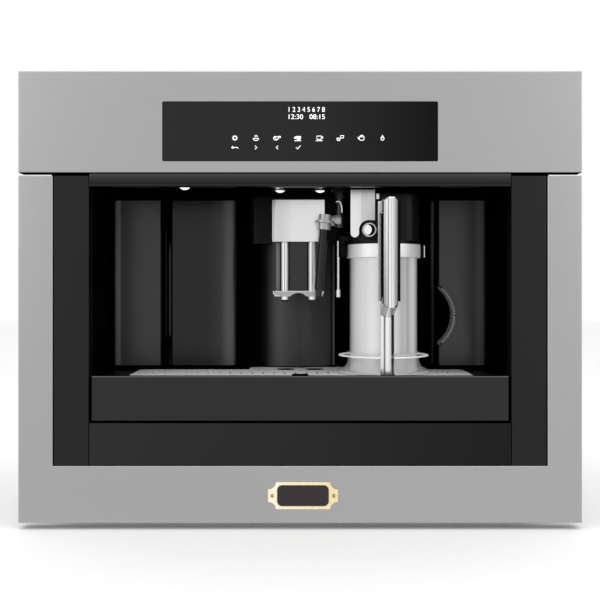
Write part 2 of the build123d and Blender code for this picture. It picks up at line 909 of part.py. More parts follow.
dome_half = lamp_radius - 1.0
dome_height = lamp_drop - lamp_rim
dome_radius = (dome_half**2 + dome_height**2) / (2 * dome_height)
dome_angle = math.asin(dome_half / dome_radius) / 2
with BuildPart() as niche_lamps:
    for lamp_x, lamp_y in lamp_places:
        lamp_plane = Plane(origin=(lamp_x, lamp_y, 0), x_dir=(1, 0, 0), z_dir=(0, -1, 0))
        with BuildSketch(lamp_plane):
            with BuildLine():
                Polyline(
                    (0, niche_ceiling + niche_wall + 4),
                    (lamp_radius - panel_gap, niche_ceiling + niche_wall + 4),
                    (lamp_radius - panel_gap, niche_ceiling),
                    (lamp_radius + 1.4, niche_ceiling),
                    (lamp_radius + 1.0, niche_ceiling - lamp_rim),
                    (dome_half, niche_ceiling - lamp_rim),
                )
                ThreePointArc(
                    (dome_half, niche_ceiling - lamp_rim),
                    (
                        dome_radius * math.sin(dome_angle),
                        niche_ceiling - lamp_drop + dome_radius * (1 - math.cos(dome_angle)),
                    ),
                    (0, niche_ceiling - lamp_drop),
                )
                Line((0, niche_ceiling - lamp_drop), (0, niche_ceiling + niche_wall + 4))
            make_face()
        revolve(axis=Axis((lamp_x, lamp_y, 0), (0, 0, 1)))


# ---------------------------------------------------------------- containers and door


def pan_front(left, right, round_left, round_right):
    """A container front seen from above: a panel with its edges turned back, open behind."""
    with BuildSketch(Plane.XY.offset(block_bottom)) as plan:
        with BuildLine():
            Polyline(
                (left, block_back),
                (left, block_face + round_left),
            )
            JernArc((left, block_face + round_left), (0, -1), round_left, 90)
            Line((left + round_left, block_face), (right - round_right, block_face))
            JernArc((right - round_right, block_face), (1, 0), round_right, 90)
            Line((right, block_face + round_right), (right, block_back))
            Line((right, block_back), (left, block_back))
        make_face()
    extrude(plan.sketch, amount=block_height)
    block(
        (left + block_wall, right - block_wall),
        (block_face + block_wall, block_back),
        (block_bottom + block_wall, block_top - block_wall),
        Mode.SUBTRACT,
    )


with BuildPart() as grounds_container:
    pan_front(-block_outer, grounds_right, block_round, block_wall)
    bin_left = -block_outer + 1.0
    bin_right = grounds_right - 1.0
    block((bin_left, bin_right), (block_back, block_back + bin_depth), (block_bottom, block_bottom + bin_height))
    fillet(
        grounds_container.edges().filter_by(Axis.Z).group_by(Axis.Y)[-1],
        6,
    )
    block(
        (bin_left + bin_wall, bin_right - bin_wall),
        (block_back + bin_wall, block_back + bin_depth - bin_wall),
        (block_bottom + bin_wall, block_bottom + bin_height + 1),
        Mode.SUBTRACT,
    )

pin_plane = Plane(origin=(hinge_x, hinge_y, block_bottom), z_dir=(0, 0, 1))
with BuildPart() as hinge_pin:
    rod(pin_plane, hinge_pin_radius, block_height)

with BuildPart() as service_door:
    pan_front(door_left, door_right, block_wall, block_round)
    for knuckle_z in (block_bottom + knuckle_inset, block_top - knuckle_inset - knuckle_length):
        knuckle_plane = Plane(origin=(hinge_x, hinge_y, knuckle_z), z_dir=(0, 0, 1))
        rod(knuckle_plane, knuckle_radius, knuckle_length)
        block(
            (hinge_x, door_left + 1),
            (hinge_y - 2, hinge_y + 2),
            (knuckle_z, knuckle_z + knuckle_length),
        )
        rod(knuckle_plane, hinge_pin_radius + hinge_play, knuckle_length, Mode.SUBTRACT)

scoop_plane = Plane(origin=(scoop_x, block_face, scoop_z), z_dir=(0, 1, 0))
with BuildPart() as tank_cavity:
    block(
        (tank_left + tank_wall, block_outer - tank_wall),
        (block_face + tank_wall, block_face + tank_depth - tank_wall),
        (block_bottom + tank_wall, block_top + 1),
    )
    rod(scoop_plane, scoop_radius + tank_wall, scoop_depth + tank_wall, Mode.SUBTRACT)

with BuildPart() as water_tank:
    block((tank_left, block_outer), (block_face, block_face + tank_depth), (block_bottom, block_top))
    right_edges = water_tank.edges().filter_by(Axis.Z).group_by(Axis.X)[-1]
    fillet(right_edges.sort_by(Axis.Y)[0], block_round)
    rod(scoop_plane, scoop_radius, scoop_depth, Mode.SUBTRACT)
    scoop_edge = water_tank.edges().filter_by(GeomType.CIRCLE).group_by(Axis.Y)[0]
    chamfer(scoop_edge.filter_by(lambda edge: edge.radius > scoop_radius - 1), scoop_bevel)
    add(tank_cavity.part, mode=Mode.SUBTRACT)

with BuildPart() as tank_lid:
    block(
        (tank_left, block_outer),
        (block_face + block_round, block_face + tank_depth),
        (block_top, block_top + tank_lid_thickness),
    )
    block(
        (tank_left + tank_wall + 0.2, block_outer - tank_wall - 0.2),
        (block_face + scoop_depth + 2 * tank_wall, block_face + tank_depth - tank_wall - 0.2),
        (block_top - 4, block_top),
    )


# ---------------------------------------------------------------- drip tray


def tray_plan(inset, front):
    """The tray's outline from above: a straight front and a bulge into the recess."""
    span((-tray_half_width + inset, front), (tray_half_width - inset, tray_rear - inset))
    span((tray_bulge_left + inset, front), (tray_bulge_right - inset, tray_bulge_rear - inset))


tray_inner_front = black_face + tray_front_wall
with BuildPart() as drip_tray:
    tray_bottom = shelf_top + slide_gap
    with BuildSketch(Plane.XY.offset(tray_bottom)):
        tray_plan(0, tray_inner_front)
        fillet(vertices().group_by(Axis.Y)[-1], 10)
    extrude(amount=deck_top - deck_thickness - tray_bottom)
    with BuildSketch(Plane.XY.offset(tray_bottom + tray_wall)):
        tray_plan(tray_wall, tray_inner_front + tray_wall)
        fillet(vertices().group_by(Axis.Y)[-1], 10 - tray_wall)
    extrude(amount=deck_top - deck_thickness - tray_bottom, mode=Mode.SUBTRACT)


def grid_plan(inset):
    """The cup grid's outline from above, with rounded corners."""
    span((grid_left + inset, grid_front + inset), (grid_right - inset, grid_rear - inset))
    span((tray_bulge_left + inset, grid_front + inset), (tray_bulge_right - inset, tray_bulge_rear - grid_rim - inset))
    corners = vertices().sort_by(Axis.X)
    shortest_step = min(grid_right - tray_bulge_right, tray_bulge_left - grid_left)
    corner_radius = min(grid_corner, 0.8 * shortest_step)
    fillet((*corners[:2], *corners[-2:], *vertices().group_by(Axis.Y)[-1]), corner_radius - inset)


with BuildPart() as tray_front:
    with BuildSketch(front_plane(tray_inner_front)):
        span((-tray_front_half, tray_front_bottom), (tray_front_half, tray_front_top))
    extrude(amount=tray_front_wall)
    fillet(tray_front.faces().sort_by(Axis.Y)[0].edges(), 1.0)
    with BuildSketch(Plane.XY.offset(deck_top - deck_thickness)):
        tray_plan(0, tray_inner_front)
        fillet(vertices().group_by(Axis.Y)[-1], 10)
    extrude(amount=deck_thickness)
    with BuildSketch(Plane.XY.offset(deck_top - deck_thickness)):
        grid_plan(grid_rim)
    extrude(amount=deck_thickness, mode=Mode.SUBTRACT)
    # guide for the level float, standing in the grid's front notch
    block(
        (-float_guide_width / 2, float_guide_width / 2),
        (float_y - 6, float_y + 6),
        (deck_top - deck_thickness, grid_top),
    )
    rod(
        Plane(origin=(0, float_y, deck_top - deck_thickness), z_dir=(0, 0, 1)),
        float_stem_radius + float_play,
        deck_thickness + grid_thickness,
        Mode.SUBTRACT,
    )

with BuildPart() as cup_grid:
    with BuildSketch(Plane.XY.offset(deck_top)):
        grid_plan(0)
        with Locations((0, float_y)):
            Rectangle(float_guide_width + 2 * slide_gap, 12 + 2 * slide_gap, mode=Mode.SUBTRACT)
    extrude(amount=grid_thickness)
    slot_count = int((grid_right - grid_left - 2 * grid_border) / grid_pitch)
    bulge_count = int((tray_bulge_right - tray_bulge_left - 2 * grid_border) / grid_pitch)
    with BuildSketch(Plane.XY.offset(deck_top)):
        with Locations(((grid_left + grid_right) / 2, grid_slot_y)):
            with GridLocations(grid_pitch, 1, slot_count, 1):
                SlotOverall(grid_slot_length, grid_slot_width, rotation=90)
        with Locations(((tray_bulge_left + tray_bulge_right) / 2, grid_short_slot_y)):
            with GridLocations(grid_pitch, 1, bulge_count, 1):
                SlotOverall(grid_short_slot, grid_slot_width, rotation=90)
        # drain holes below the spout
        with Locations((-grid_hole_spread, grid_hole_y), (grid_hole_spread, grid_hole_y)):
            Circle(grid_hole_radius)
    extrude(amount=grid_thickness, mode=Mode.SUBTRACT)

with BuildPart() as tray_float:
    float_bottom = tray_bottom + tray_wall + slide_gap
    rod(Plane(origin=(0, float_y, float_bottom), z_dir=(0, 0, 1)), float_radius, 12)
    rod(Plane(origin=(0, float_y, float_bottom), z_dir=(0, 0, 1)), float_stem_radius, grid_top - float_bottom - 1)


# ---------------------------------------------------------------- coffee spout

with BuildPart() as spout_housing:
    with BuildSketch(Plane.XY.offset(housing_bottom)):
        span((housing_left, housing_front), (housing_right, recess_back))
        fillet(vertices().group_by(Axis.Y)[0], housing_corner)
    extrude(amount=housing_top - housing_bottom)
    with BuildSketch(Plane.XY.offset(bay_bottom)):
        with BuildLine():
            middle_x = (column_left + column_right) / 2
            ThreePointArc((column_left, recess_back), (middle_x, column_front), (column_right, recess_back))
            Line((column_right, recess_back), (column_left, recess_back))
        make_face()
    extrude(amount=housing_bottom - bay_bottom)
    # guide slot for the spout's rail
    slot_half = spout_rail_width / 2 + spout_rail_play
    head_half = spout_rail_head / 2 + spout_rail_play
    rail_head_y = housing_front + spout_rail_recess
    head_front = rail_head_y - spout_rail_play
    head_back = rail_head_y + spout_rail_thickness + spout_rail_play
    slot_z = (housing_bottom, housing_top)
    block((spout_x - slot_half, spout_x + slot_half), (housing_front, head_front), slot_z, Mode.SUBTRACT)
    block((spout_x - head_half, spout_x + head_half), (head_front, head_back), slot_z, Mode.SUBTRACT)


def spout_plan(inset, depth):
    """The spout from above: a flat front with its left corner folded back."""
    left, right = spout_left + inset, spout_right - inset
    front = spout_front + inset
    outline(
        (
            (left, depth),
            (left, front + spout_fold_depth),
            (left + spout_fold_width, front),
            (right, front),
            (right, depth),
        )
    )


with BuildPart() as spout_cover:
    cover_rear = spout_front + spout_cover_depth
    with BuildSketch(Plane.XY.offset(spout_cover_bottom)):
        spout_plan(0, cover_rear)
    extrude(amount=spout_cover_height)
    with BuildSketch(Plane.XY.offset(spout_cover_bottom)):
        spout_plan(spout_cover_sheet, cover_rear)
    extrude(amount=spout_cover_height, mode=Mode.SUBTRACT)

body_inset = spout_cover_sheet
lower_front = spout_front + 2 * tube_radius + spout_lower_gap
web_half = tube_half_pitch - tube_radius - spout_web_gap
with BuildPart() as spout_body:
    with BuildSketch(Plane.XY.offset(spout_cover_bottom)):
        spout_plan(body_inset, spout_rear)
    extrude(amount=spout_cover_height - 1)
    with BuildSketch(Plane.XY.offset(rim_top)):
        span((spout_left + body_inset, lower_front), (spout_right - body_inset, spout_rear))
        span((spout_x - web_half, lower_front - spout_web_depth), (spout_x + web_half, lower_front))
    extrude(amount=spout_cover_bottom - rim_top)
    fillet(spout_body.edges().filter_by(Axis.Z).group_by(Axis.Y)[-1], spout_lower_corner)
    # the rail that runs in the housing's slot
    rail_top = spout_cover_top - spout_rail_drop
    rail_bottom = rail_top - spout_rail_length
    block(
        (spout_x - spout_rail_width / 2, spout_x + spout_rail_width / 2),
        (spout_rear, rail_head_y),
        (rail_bottom, rail_top),
    )
    block(
        (spout_x - spout_rail_head / 2, spout_x + spout_rail_head / 2),
        (rail_head_y, rail_head_y + spout_rail_thickness),
        (rail_bottom, rail_top),
    )

with BuildPart() as spout_tubes:
    tube_y = spout_front + tube_radius + 2
    with BuildSketch(Plane.XY.offset(rim_bottom)):
        span(
            (spout_left + body_inset, spout_front + rim_set_back),
            (spout_right - body_inset, spout_rear - rim_rear_gap),
        )
        fillet(vertices(), rim_corner)
    extrude(amount=rim_thickness)
    with BuildSketch(front_plane(spout_rear)):
        with BuildLine():
            ThreePointArc(
                (spout_x - rim_arch_half, rim_bottom),
                (spout_x, rim_bottom + rim_arch),
                (spout_x + rim_arch_half, rim_bottom),
            )
            Line((spout_x + rim_arch_half, rim_bottom), (spout_x - rim_arch_half, rim_bottom))
        make_face()
    extrude(amount=spout_rear - spout_front, mode=Mode.SUBTRACT)
    for side in (-1, 1):
        tube_x = spout_x + side * tube_half_pitch
        rod(Plane(origin=(tube_x, tube_y, tube_tip), z_dir=(0, 0, 1)), tube_radius, spout_cover_bottom - tube_tip)
        rod(
            Plane(origin=(tube_x, tube_y, tube_tip), z_dir=(0, 0, 1)),
            tube_bore,
            spout_cover_bottom - tube_tip - 3,
            Mode.SUBTRACT,
        )


# ---------------------------------------------------------------- hot water wand and milk connector

with BuildPart() as steam_fittings:
    boss_plane = Plane(origin=(wand_boss_x, wand_boss_y, wand_boss_bottom), z_dir=(0, 0, 1))
    rod(boss_plane, wand_boss_radius * 0.72, niche_ceiling - wand_boss_bottom)
    rod(boss_plane.offset(6), wand_boss_radius, niche_ceiling - wand_boss_bottom - 6)
    rod(boss_plane, wand_stub_radius + wand_stub_play, wand_stub_engage + 0.5, Mode.SUBTRACT)
    # the connector that the carafe's lid plugs up to
    connector_low = connector_z - connector_height / 2
    block(
        (carafe_x - connector_width / 2 - connector_border, carafe_x + connector_width / 2 + connector_border),
        (connector_front + connector_depth, recess_back),
        (connector_low - connector_border, connector_low + connector_height + connector_border),
    )
    fillet(steam_fittings.edges().filter_by(Axis.Y), connector_border)
    block(
        (carafe_x - connector_width / 2, carafe_x + connector_width / 2),
        (connector_front, connector_front + connector_depth),
        (connector_low, connector_low + connector_height),
    )
    rod(
        Plane(origin=(carafe_x, connector_front, connector_z), z_dir=(0, 1, 0)),
        connector_bore,
        2 * connector_depth - 2,
        Mode.SUBTRACT,
    )

lean = math.radians(wand_lean)
wand_axis = (-math.sin(lean), 0, -math.cos(lean))
wand_plane = Plane(origin=(wand_collar_x, wand_collar_y, wand_collar_top), x_dir=(0, 1, 0), z_dir=wand_axis)
with BuildPart() as wand_pipe:
    arm_z = wand_collar_top - wand_collar_length / 2
    rod(
        Plane(origin=(wand_boss_x, wand_boss_y, arm_z), z_dir=(0, 0, 1)),
        wand_stub_radius,
        wand_boss_bottom + wand_stub_engage - arm_z,
    )
    rod(
        Plane(origin=(wand_boss_x, wand_boss_y, arm_z - wand_joint_drop), z_dir=(0, 0, 1)),
        wand_joint_radius,
        wand_joint_height,
    )
    # the grey elbow between the joint and the collar
    arm = Vector(wand_collar_x - wand_boss_x, wand_collar_y - wand_boss_y, 0)
    with BuildSketch(Plane(origin=(wand_boss_x, wand_boss_y, arm_z), z_dir=arm)):
        Circle(wand_arm_start)
    with BuildSketch(Plane(origin=(wand_collar_x, wand_collar_y, arm_z), z_dir=arm)):
        Circle(wand_arm_end)
    loft()
    rod(wand_plane, wand_collar_radius, wand_collar_length)
    rod(wand_plane.offset(wand_collar_length * 0.42), wand_flange_radius, wand_flange_thickness)
    # the chrome tip below the sleeve, on the pipe that runs down inside it
    rod(wand_plane.offset(wand_collar_length), wand_tip_radius, wand_sleeve_length + wand_tip_length)

with BuildPart() as wand_sleeve:
    rod(wand_plane.offset(wand_collar_length), wand_sleeve_radius, wand_sleeve_length)
    fillet(wand_sleeve.edges().filter_by(GeomType.CIRCLE).sort_by(Axis.Z)[0], 1.5)
    rod(
        wand_plane.offset(wand_collar_length),
        wand_tip_radius + seat_play,
        wand_sleeve_length,
        Mode.SUBTRACT,
    )


# ---------------------------------------------------------------- milk carafe

carafe_plane = Plane(origin=(carafe_x, carafe_y, 0), x_dir=(1, 0, 0), z_dir=(0, -1, 0))
carafe_axis = Axis((carafe_x, carafe_y, 0), (0, 0, 1))

with BuildPart() as carafe_glass:
    with BuildSketch(carafe_plane):
        inner = carafe_radius - carafe_wall
        outline(
            (
                (0, carafe_glass_bottom),
                (carafe_radius, carafe_glass_bottom),
                (carafe_radius, carafe_rim),
                (inner, carafe_rim),
                (inner, carafe_glass_bottom + carafe_wall),
                (0, carafe_glass_bottom + carafe_wall),
            )
        )
    revolve(axis=carafe_axis)

with BuildPart() as carafe_foot:
    foot_inner = carafe_radius + foot_play
    waist = foot_inner + foot_collar
    disc_z = carafe_bottom + foot_disc_z
    with BuildSketch(carafe_plane):
        with BuildLine():
            Polyline(
                (0, carafe_bottom),
                (foot_radius - 1, carafe_bottom),
                (foot_radius, carafe_bottom + foot_base / 2),
                (foot_radius - 1, carafe_bottom + foot_base),
            )
            ThreePointArc(
                (foot_radius - 1, carafe_bottom + foot_base),
                (waist + 3, carafe_bottom + foot_flare / 2),
                (waist, carafe_bottom + foot_flare),
            )
            # the thin disc above the flare
            Polyline(
                (waist, carafe_bottom + foot_flare),
                (waist, disc_z - foot_disc_taper),
                (foot_disc_radius, disc_z),
                (foot_disc_radius, disc_z + foot_disc_edge),
                (waist, disc_z + foot_disc_edge + foot_disc_taper),
                (waist, carafe_bottom + foot_height),
                (foot_inner, carafe_bottom + foot_height),
                (foot_inner, carafe_glass_bottom),
                (0, carafe_glass_bottom),
                (0, carafe_bottom),
            )
        make_face()
    revolve(axis=carafe_axis)
    # slot for the handle's strip
    block(
        (carafe_x - handle_width / 2 - foot_play, carafe_x + handle_width / 2 + foot_play),
        (carafe_y - foot_radius - 1, handle_strip_front + handle_strip_depth + foot_play),
        (carafe_bottom - 1, carafe_bottom + foot_height + 1),
        Mode.SUBTRACT,
    )

with BuildPart() as carafe_lid:
    with BuildSketch(carafe_plane):
        outline(
            (
                (0, carafe_rim - lid_plug_depth),
                (carafe_radius - carafe_wall - 0.3, carafe_rim - lid_plug_depth),
                (carafe_radius - carafe_wall - 0.3, carafe_rim),
                (carafe_radius, carafe_rim),
                (carafe_radius, lid_bottom),
                (0, lid_bottom),
            )
        )
    revolve(axis=carafe_axis)
    with BuildSketch(Plane.XY.offset(lid_bottom)):
        span((carafe_x - lid_half_width, lid_front), (carafe_x + lid_half_width, lid_rear))
        fillet(vertices(), lid_corner)
    extrude(amount=lid_height)
    fillet(carafe_lid.faces().sort_by(Axis.Z)[-1].edges(), 3)
    block(
        (carafe_x - connector_width / 2 + 3, carafe_x + connector_width / 2 - 3),
        (lid_rear - 2, connector_front - slide_gap),
        (connector_z - 8, connector_z + 8),
    )
    # lug that the milk spout hangs from
    lug_bottom = lid_bottom + 1
    lug_plane = Plane(origin=(milk_pivot_x, milk_pivot_y, lug_bottom), z_dir=(0, 0, 1))
    rod(lug_plane, milk_lug_radius, milk_lug_thickness)
    block(
        (milk_pivot_x, carafe_x - lid_half_width + 4),
        (milk_pivot_y - milk_lug_radius, milk_pivot_y + milk_lug_radius),
        (lug_bottom, lug_bottom + milk_lug_thickness),
    )
    rod(lug_plane, milk_pin_radius + milk_pin_play, milk_pin_length, Mode.SUBTRACT)
    # bore for the froth knob's shaft
    knob_plane = Plane(origin=(knob_x, lid_front, knob_z), z_dir=(0, 1, 0))
    rod(knob_plane, knob_shaft_radius + knob_play, 10, Mode.SUBTRACT)
    # straw into the milk
    straw_plane = Plane(
        origin=(carafe_x + carafe_radius * 0.45, carafe_y + carafe_radius * 0.4, carafe_glass_bottom + 8),
        z_dir=(0, 0, 1),
    )
    straw_length = carafe_rim - lid_plug_depth - carafe_glass_bottom - 8
    rod(straw_plane, straw_radius, straw_length)
    rod(straw_plane, straw_bore, straw_length, Mode.SUBTRACT)

with BuildPart() as trim_plate_outline:
    with BuildSketch(front_plane(carafe_y)):
        leg_radius = trim_plate_leg / 2
        span((trim_plate_left, trim_plate_shoulder), (trim_plate_right, trim_plate_top))
        span((trim_plate_left, trim_plate_bottom + leg_radius), (trim_plate_left + trim_plate_leg, trim_plate_top))
        with Locations((trim_plate_left + leg_radius, trim_plate_bottom + leg_radius)):
            Circle(leg_radius)
        span((trim_plate_left, knob_z), (knob_x, trim_plate_top))
        with Locations((knob_x, knob_z)):
            Circle(knob_notch, mode=Mode.SUBTRACT)
    extrude(amount=2 * carafe_y)

plate_face = lid_front - steel
with BuildPart() as trim_plate:
    with BuildSketch(Plane.XY.offset(trim_plate_bottom - 1)):
        outline(
            (
                (trim_plate_right, plate_face),
                (trim_plate_right, lid_front),
                (trim_plate_crease, lid_front),
                (trim_plate_left - 1, lid_front + 2),
                (trim_plate_left - 1, plate_face + 2),
                (trim_plate_crease, plate_face),
            )
        )
    extrude(amount=trim_plate_top - trim_plate_bottom + 2)
    add(trim_plate_outline.part, mode=Mode.INTERSECT)

with BuildPart() as lid_trim:
    with BuildSketch(carafe_plane):
        span((carafe_radius + seat_play, carafe_rim), (band_radius, lid_bottom))
    revolve(axis=carafe_axis)
    fillet(lid_trim.edges().filter_by(GeomType.CIRCLE).filter_by(lambda edge: edge.radius > carafe_radius + 1), 0.8)
    add(trim_plate.part)

with BuildPart() as froth_knob:
    rod(knob_plane.offset(-knob_length / 2), knob_shaft_radius, 9.5 + knob_length / 2)
    rod(knob_plane.offset(-knob_length), knob_radius, knob_length - slide_gap)
    fillet(froth_knob.edges().filter_by(GeomType.CIRCLE).sort_by(Axis.Y)[0], 2)
    block(
        (knob_x - 1.2, knob_x + 1.2),
        (lid_front - knob_length - 1.5, lid_front - knob_length + 1),
        (knob_z - knob_radius + 2.5, knob_z + knob_radius - 2.5),
    )

with BuildPart() as carafe_handle:
    grip_back = handle_grip_front + handle_grip_depth
    strip_back = handle_strip_front + handle_strip_depth
    with BuildSketch(side_plane(carafe_x - handle_width / 2)):
        outline(
            (
                (handle_strip_front, carafe_bottom),
                (strip_back, carafe_bottom),
                (strip_back, handle_top),
                (handle_grip_front, handle_top),
                (handle_grip_front, handle_grip_bottom),
                (handle_strip_front, handle_link_bottom),
            )
        )
        with BuildLine(mode=Mode.PRIVATE) as finger_gap:
            Polyline(
                (grip_back, handle_grip_bottom + handle_link_height),
                (handle_strip_front, handle_link_bottom + handle_link_height),
                (handle_strip_front, handle_top - handle_link_height),
                (grip_back, handle_top - handle_link_height),
                close=True,
            )
        make_face(finger_gap.edges(), mode=Mode.SUBTRACT)
    extrude(amount=handle_width)
    front_edges = carafe_handle.edges().filter_by(Axis.Z).group_by(Axis.Y)[0]
    chamfer(front_edges, handle_bevel)
    top_front = carafe_handle.edges().filter_by(Axis.X).group_by(Axis.Z)[-1].sort_by(Axis.Y)[0]
    fillet(top_front, 5)
    # bridge that fixes the handle to the lid
    block(
        (carafe_x - handle_width / 2 + 2, carafe_x + handle_width / 2 - 2),
        (strip_back, lid_front),
        (lid_bottom + 14, handle_top - 4),
    )

with BuildPart() as milk_spout:
    milk_head_top = lug_bottom - slide_gap
    milk_head_half = milk_head_width / 2
    block(
        (milk_pivot_x - milk_head_half, milk_pivot_x + milk_head_half),
        (milk_pivot_y - milk_head_reach, milk_pivot_y + milk_head_half),
        (milk_head_top - milk_head_height, milk_head_top),
    )
    fillet(milk_spout.edges().filter_by(Axis.Z), milk_head_round)
    rod(Plane(origin=(milk_pivot_x, milk_pivot_y, milk_head_top), z_dir=(0, 0, 1)), milk_pin_radius, milk_pin_length)
    # the pipe on the head's outer side, and the nozzle over the cup
    milk_pipe_x = milk_pivot_x - milk_head_half - milk_pipe_radius + milk_pipe_seat
    milk_pipe_bottom = milk_head_top - milk_pipe_length
    milk_pipe_plane = Plane(origin=(milk_pipe_x, milk_pipe_y, milk_pipe_bottom), z_dir=(0, 0, 1))
    rod(milk_pipe_plane, milk_pipe_radius, milk_pipe_length)
    rod(milk_pipe_plane, milk_nozzle_radius, milk_nozzle_length)
    rod(milk_pipe_plane, milk_nozzle_bore, milk_nozzle_length, Mode.SUBTRACT)


# ---------------------------------------------------------------- hopper, funnel and grinder

with BuildPart() as hopper_void:
    with BuildSketch(Plane.XY.offset(cover_underside)):
        with Locations((hopper_x, hopper_y)):
            Rectangle(hopper_size - 2 * hopper_wall, hopper_size - 2 * hopper_wall)
    with BuildSketch(Plane.XY.offset(grinder_top)):
        with Locations((hopper_x, hopper_y)):
            Rectangle(2 * hopper_throat, 2 * hopper_throat)
    loft()

with BuildPart() as bean_hopper:
    with BuildSketch(Plane.XY.offset(cover_underside)):
        with Locations((hopper_x, hopper_y)):
            Rectangle(hopper_size, hopper_size)
    with BuildSketch(Plane.XY.offset(grinder_top)):
        with Locations((hopper_x, hopper_y)):
            Rectangle(2 * (hopper_throat + hopper_wall), 2 * (hopper_throat + hopper_wall))
    loft()
    block(
        (hopper_x - hopper_size / 2 - hopper_lip, hopper_x + hopper_size / 2 + hopper_lip),
        (hopper_y - hopper_size / 2 - hopper_lip, hopper_y + hopper_size / 2 + hopper_lip),
        (cover_underside - hopper_wall, cover_underside),
    )
    add(hopper_void.part, mode=Mode.SUBTRACT)


def hinged_lid(centre_x, centre_y, size):
    """A flat lid with a locating lip below and two hinge pins at its rear."""
    hinge_y_here = lid_hinge_y(centre_y, size)
    hinge_z = chassis_top + lid_hinge_radius + panel_gap
    plate_half = size / 2 + lid_overlap
    lid_bottom_z = chassis_top + panel_gap
    block(
        (centre_x - plate_half, centre_x + plate_half),
        (centre_y - plate_half, centre_y + plate_half),
        (lid_bottom_z, lid_bottom_z + lid_sheet),
    )
    fillet(edges().filter_by(Axis.Z).group_by(Axis.Y)[0], 6)
    ring = size / 2 - 3
    block(
        (centre_x - ring, centre_x + ring),
        (centre_y - ring, centre_y + ring),
        (cover_underside - 1, lid_bottom_z),
    )
    block(
        (centre_x - ring + 2, centre_x + ring - 2),
        (centre_y - ring + 2, centre_y + ring - 2),
        (cover_underside - 1, lid_bottom_z),
        Mode.SUBTRACT,
    )
    ear_inside = size / 2 - 6 - lid_ear_thickness / 2 - 0.3
    barrel = Plane(origin=(centre_x - ear_inside, hinge_y_here, hinge_z), z_dir=(1, 0, 0))
    rod(barrel, lid_hinge_radius, 2 * ear_inside)
    block(
        (centre_x - ear_inside, centre_x + ear_inside),
        (centre_y + plate_half - 1, hinge_y_here),
        (hinge_z - 0.8, lid_bottom_z + lid_sheet),
    )
    pin_start = centre_x - size / 2 + 4
    rod(Plane(origin=(pin_start, hinge_y_here, hinge_z), z_dir=(1, 0, 0)), lid_hinge_pin, size - 8)


with BuildPart() as hopper_lid:
    hinged_lid(hopper_x, hopper_y, hopper_size)

with BuildPart() as funnel_lid:
    hinged_lid(funnel_x, funnel_y, funnel_top_size)


def funnel_solid(inset):
    """The pre-ground funnel as a solid, drawn in by inset: wide at the top, narrow at the brew unit."""
    top, throat = funnel_top_size - 2 * inset, funnel_throat_size - 2 * inset
    with BuildSketch(Plane.XY.offset(cover_underside)) as mouth:
        with Locations((funnel_x, funnel_y)):
            Rectangle(top, top)
    with BuildSketch(Plane.XY.offset(bay_top)) as outlet:
        with Locations((funnel_x, funnel_y)):
            Rectangle(throat, throat)
    loft([mouth.sketch, outlet.sketch])


def chute_solid(inset, reach):
    """The sloping duct from the grinder to the funnel, drawn in by inset."""
    start_x = hopper_x - grinder_radius
    start_z = grinder_bottom + chute_rise
    ends = []
    for x, y, z in ((start_x, hopper_y - 10, start_z), (reach, funnel_y, start_z - chute_drop)):
        with BuildSketch(side_plane(x)) as end:
            with Locations((y, z)):
                Rectangle(chute_width - 2 * inset, chute_height - 2 * inset)
        ends.append(end.sketch)
    loft(ends)


with BuildPart() as chute_void:
    chute_solid(funnel_wall, funnel_x)

with BuildPart() as funnel_void:
    funnel_solid(funnel_wall)

with BuildPart() as coffee_funnel:
    funnel_solid(0)
    chute_solid(0, funnel_x)
    add(funnel_void.part, mode=Mode.SUBTRACT)
    add(chute_void.part, mode=Mode.SUBTRACT)

with BuildPart() as grinder_housing:
    grinder_plane = Plane(origin=(hopper_x, hopper_y, 0), x_dir=(1, 0, 0), z_dir=(0, -1, 0))
    burr_bottom = grinder_top - 10 - burr_height
    wide = burr_radius + burr_gap
    narrow = burr_tip_radius + burr_gap
    with BuildSketch(grinder_plane):
        outline(
            (
                (burr_shaft_radius + burr_shaft_play, grinder_bottom),
                (grinder_radius - 1.5, grinder_bottom),
                (grinder_radius, grinder_bottom + 1.5),
                (grinder_radius, grinder_top),
                (hopper_throat, grinder_top),
                (narrow + 4, burr_bottom + burr_height + 2),
                (narrow, burr_bottom + burr_height),
                (wide, burr_bottom),
                (wide, burr_bottom - 6),
                (burr_shaft_radius + burr_shaft_play, burr_bottom - 6),
            )
        )
    revolve(axis=Axis((hopper_x, hopper_y, 0), (0, 0, 1)))
    # outlet towards the chute
    outlet_z = grinder_bottom + chute_rise
    block(
        (hopper_x - grinder_radius, hopper_x - burr_radius + 4),
        (hopper_y - 10 - chute_width / 2 + funnel_wall, hopper_y - 10 + chute_width / 2 - funnel_wall),
        (outlet_z - chute_height / 2 + funnel_wall, outlet_z + chute_height / 2 - funnel_wall),
        Mode.SUBTRACT,
    )
    # flat that the chute seats against
    block(
        (hopper_x - grinder_radius - 1, hopper_x - grinder_radius + 3),
        (hopper_y - grinder_radius, hopper_y + grinder_radius),
        (grinder_bottom - 1, grinder_top + 1),
        Mode.SUBTRACT,
    )
    block(
        (hopper_x - grinder_radius, hopper_x - grinder_radius + 3),
        (hopper_y - 10 - chute_width / 2, hopper_y - 10 + chute_width / 2),
        (outlet_z - chute_height / 2, outlet_z + chute_height / 2),
    )
    block(
        (hopper_x - grinder_radius, hopper_x - grinder_radius + 3),
        (hopper_y - 10 - chute_width / 2 + funnel_wall, hopper_y - 10 + chute_width / 2 - funnel_wall),
        (outlet_z - chute_height / 2 + funnel_wall, outlet_z + chute_height / 2 - funnel_wall),
        Mode.SUBTRACT,
    )

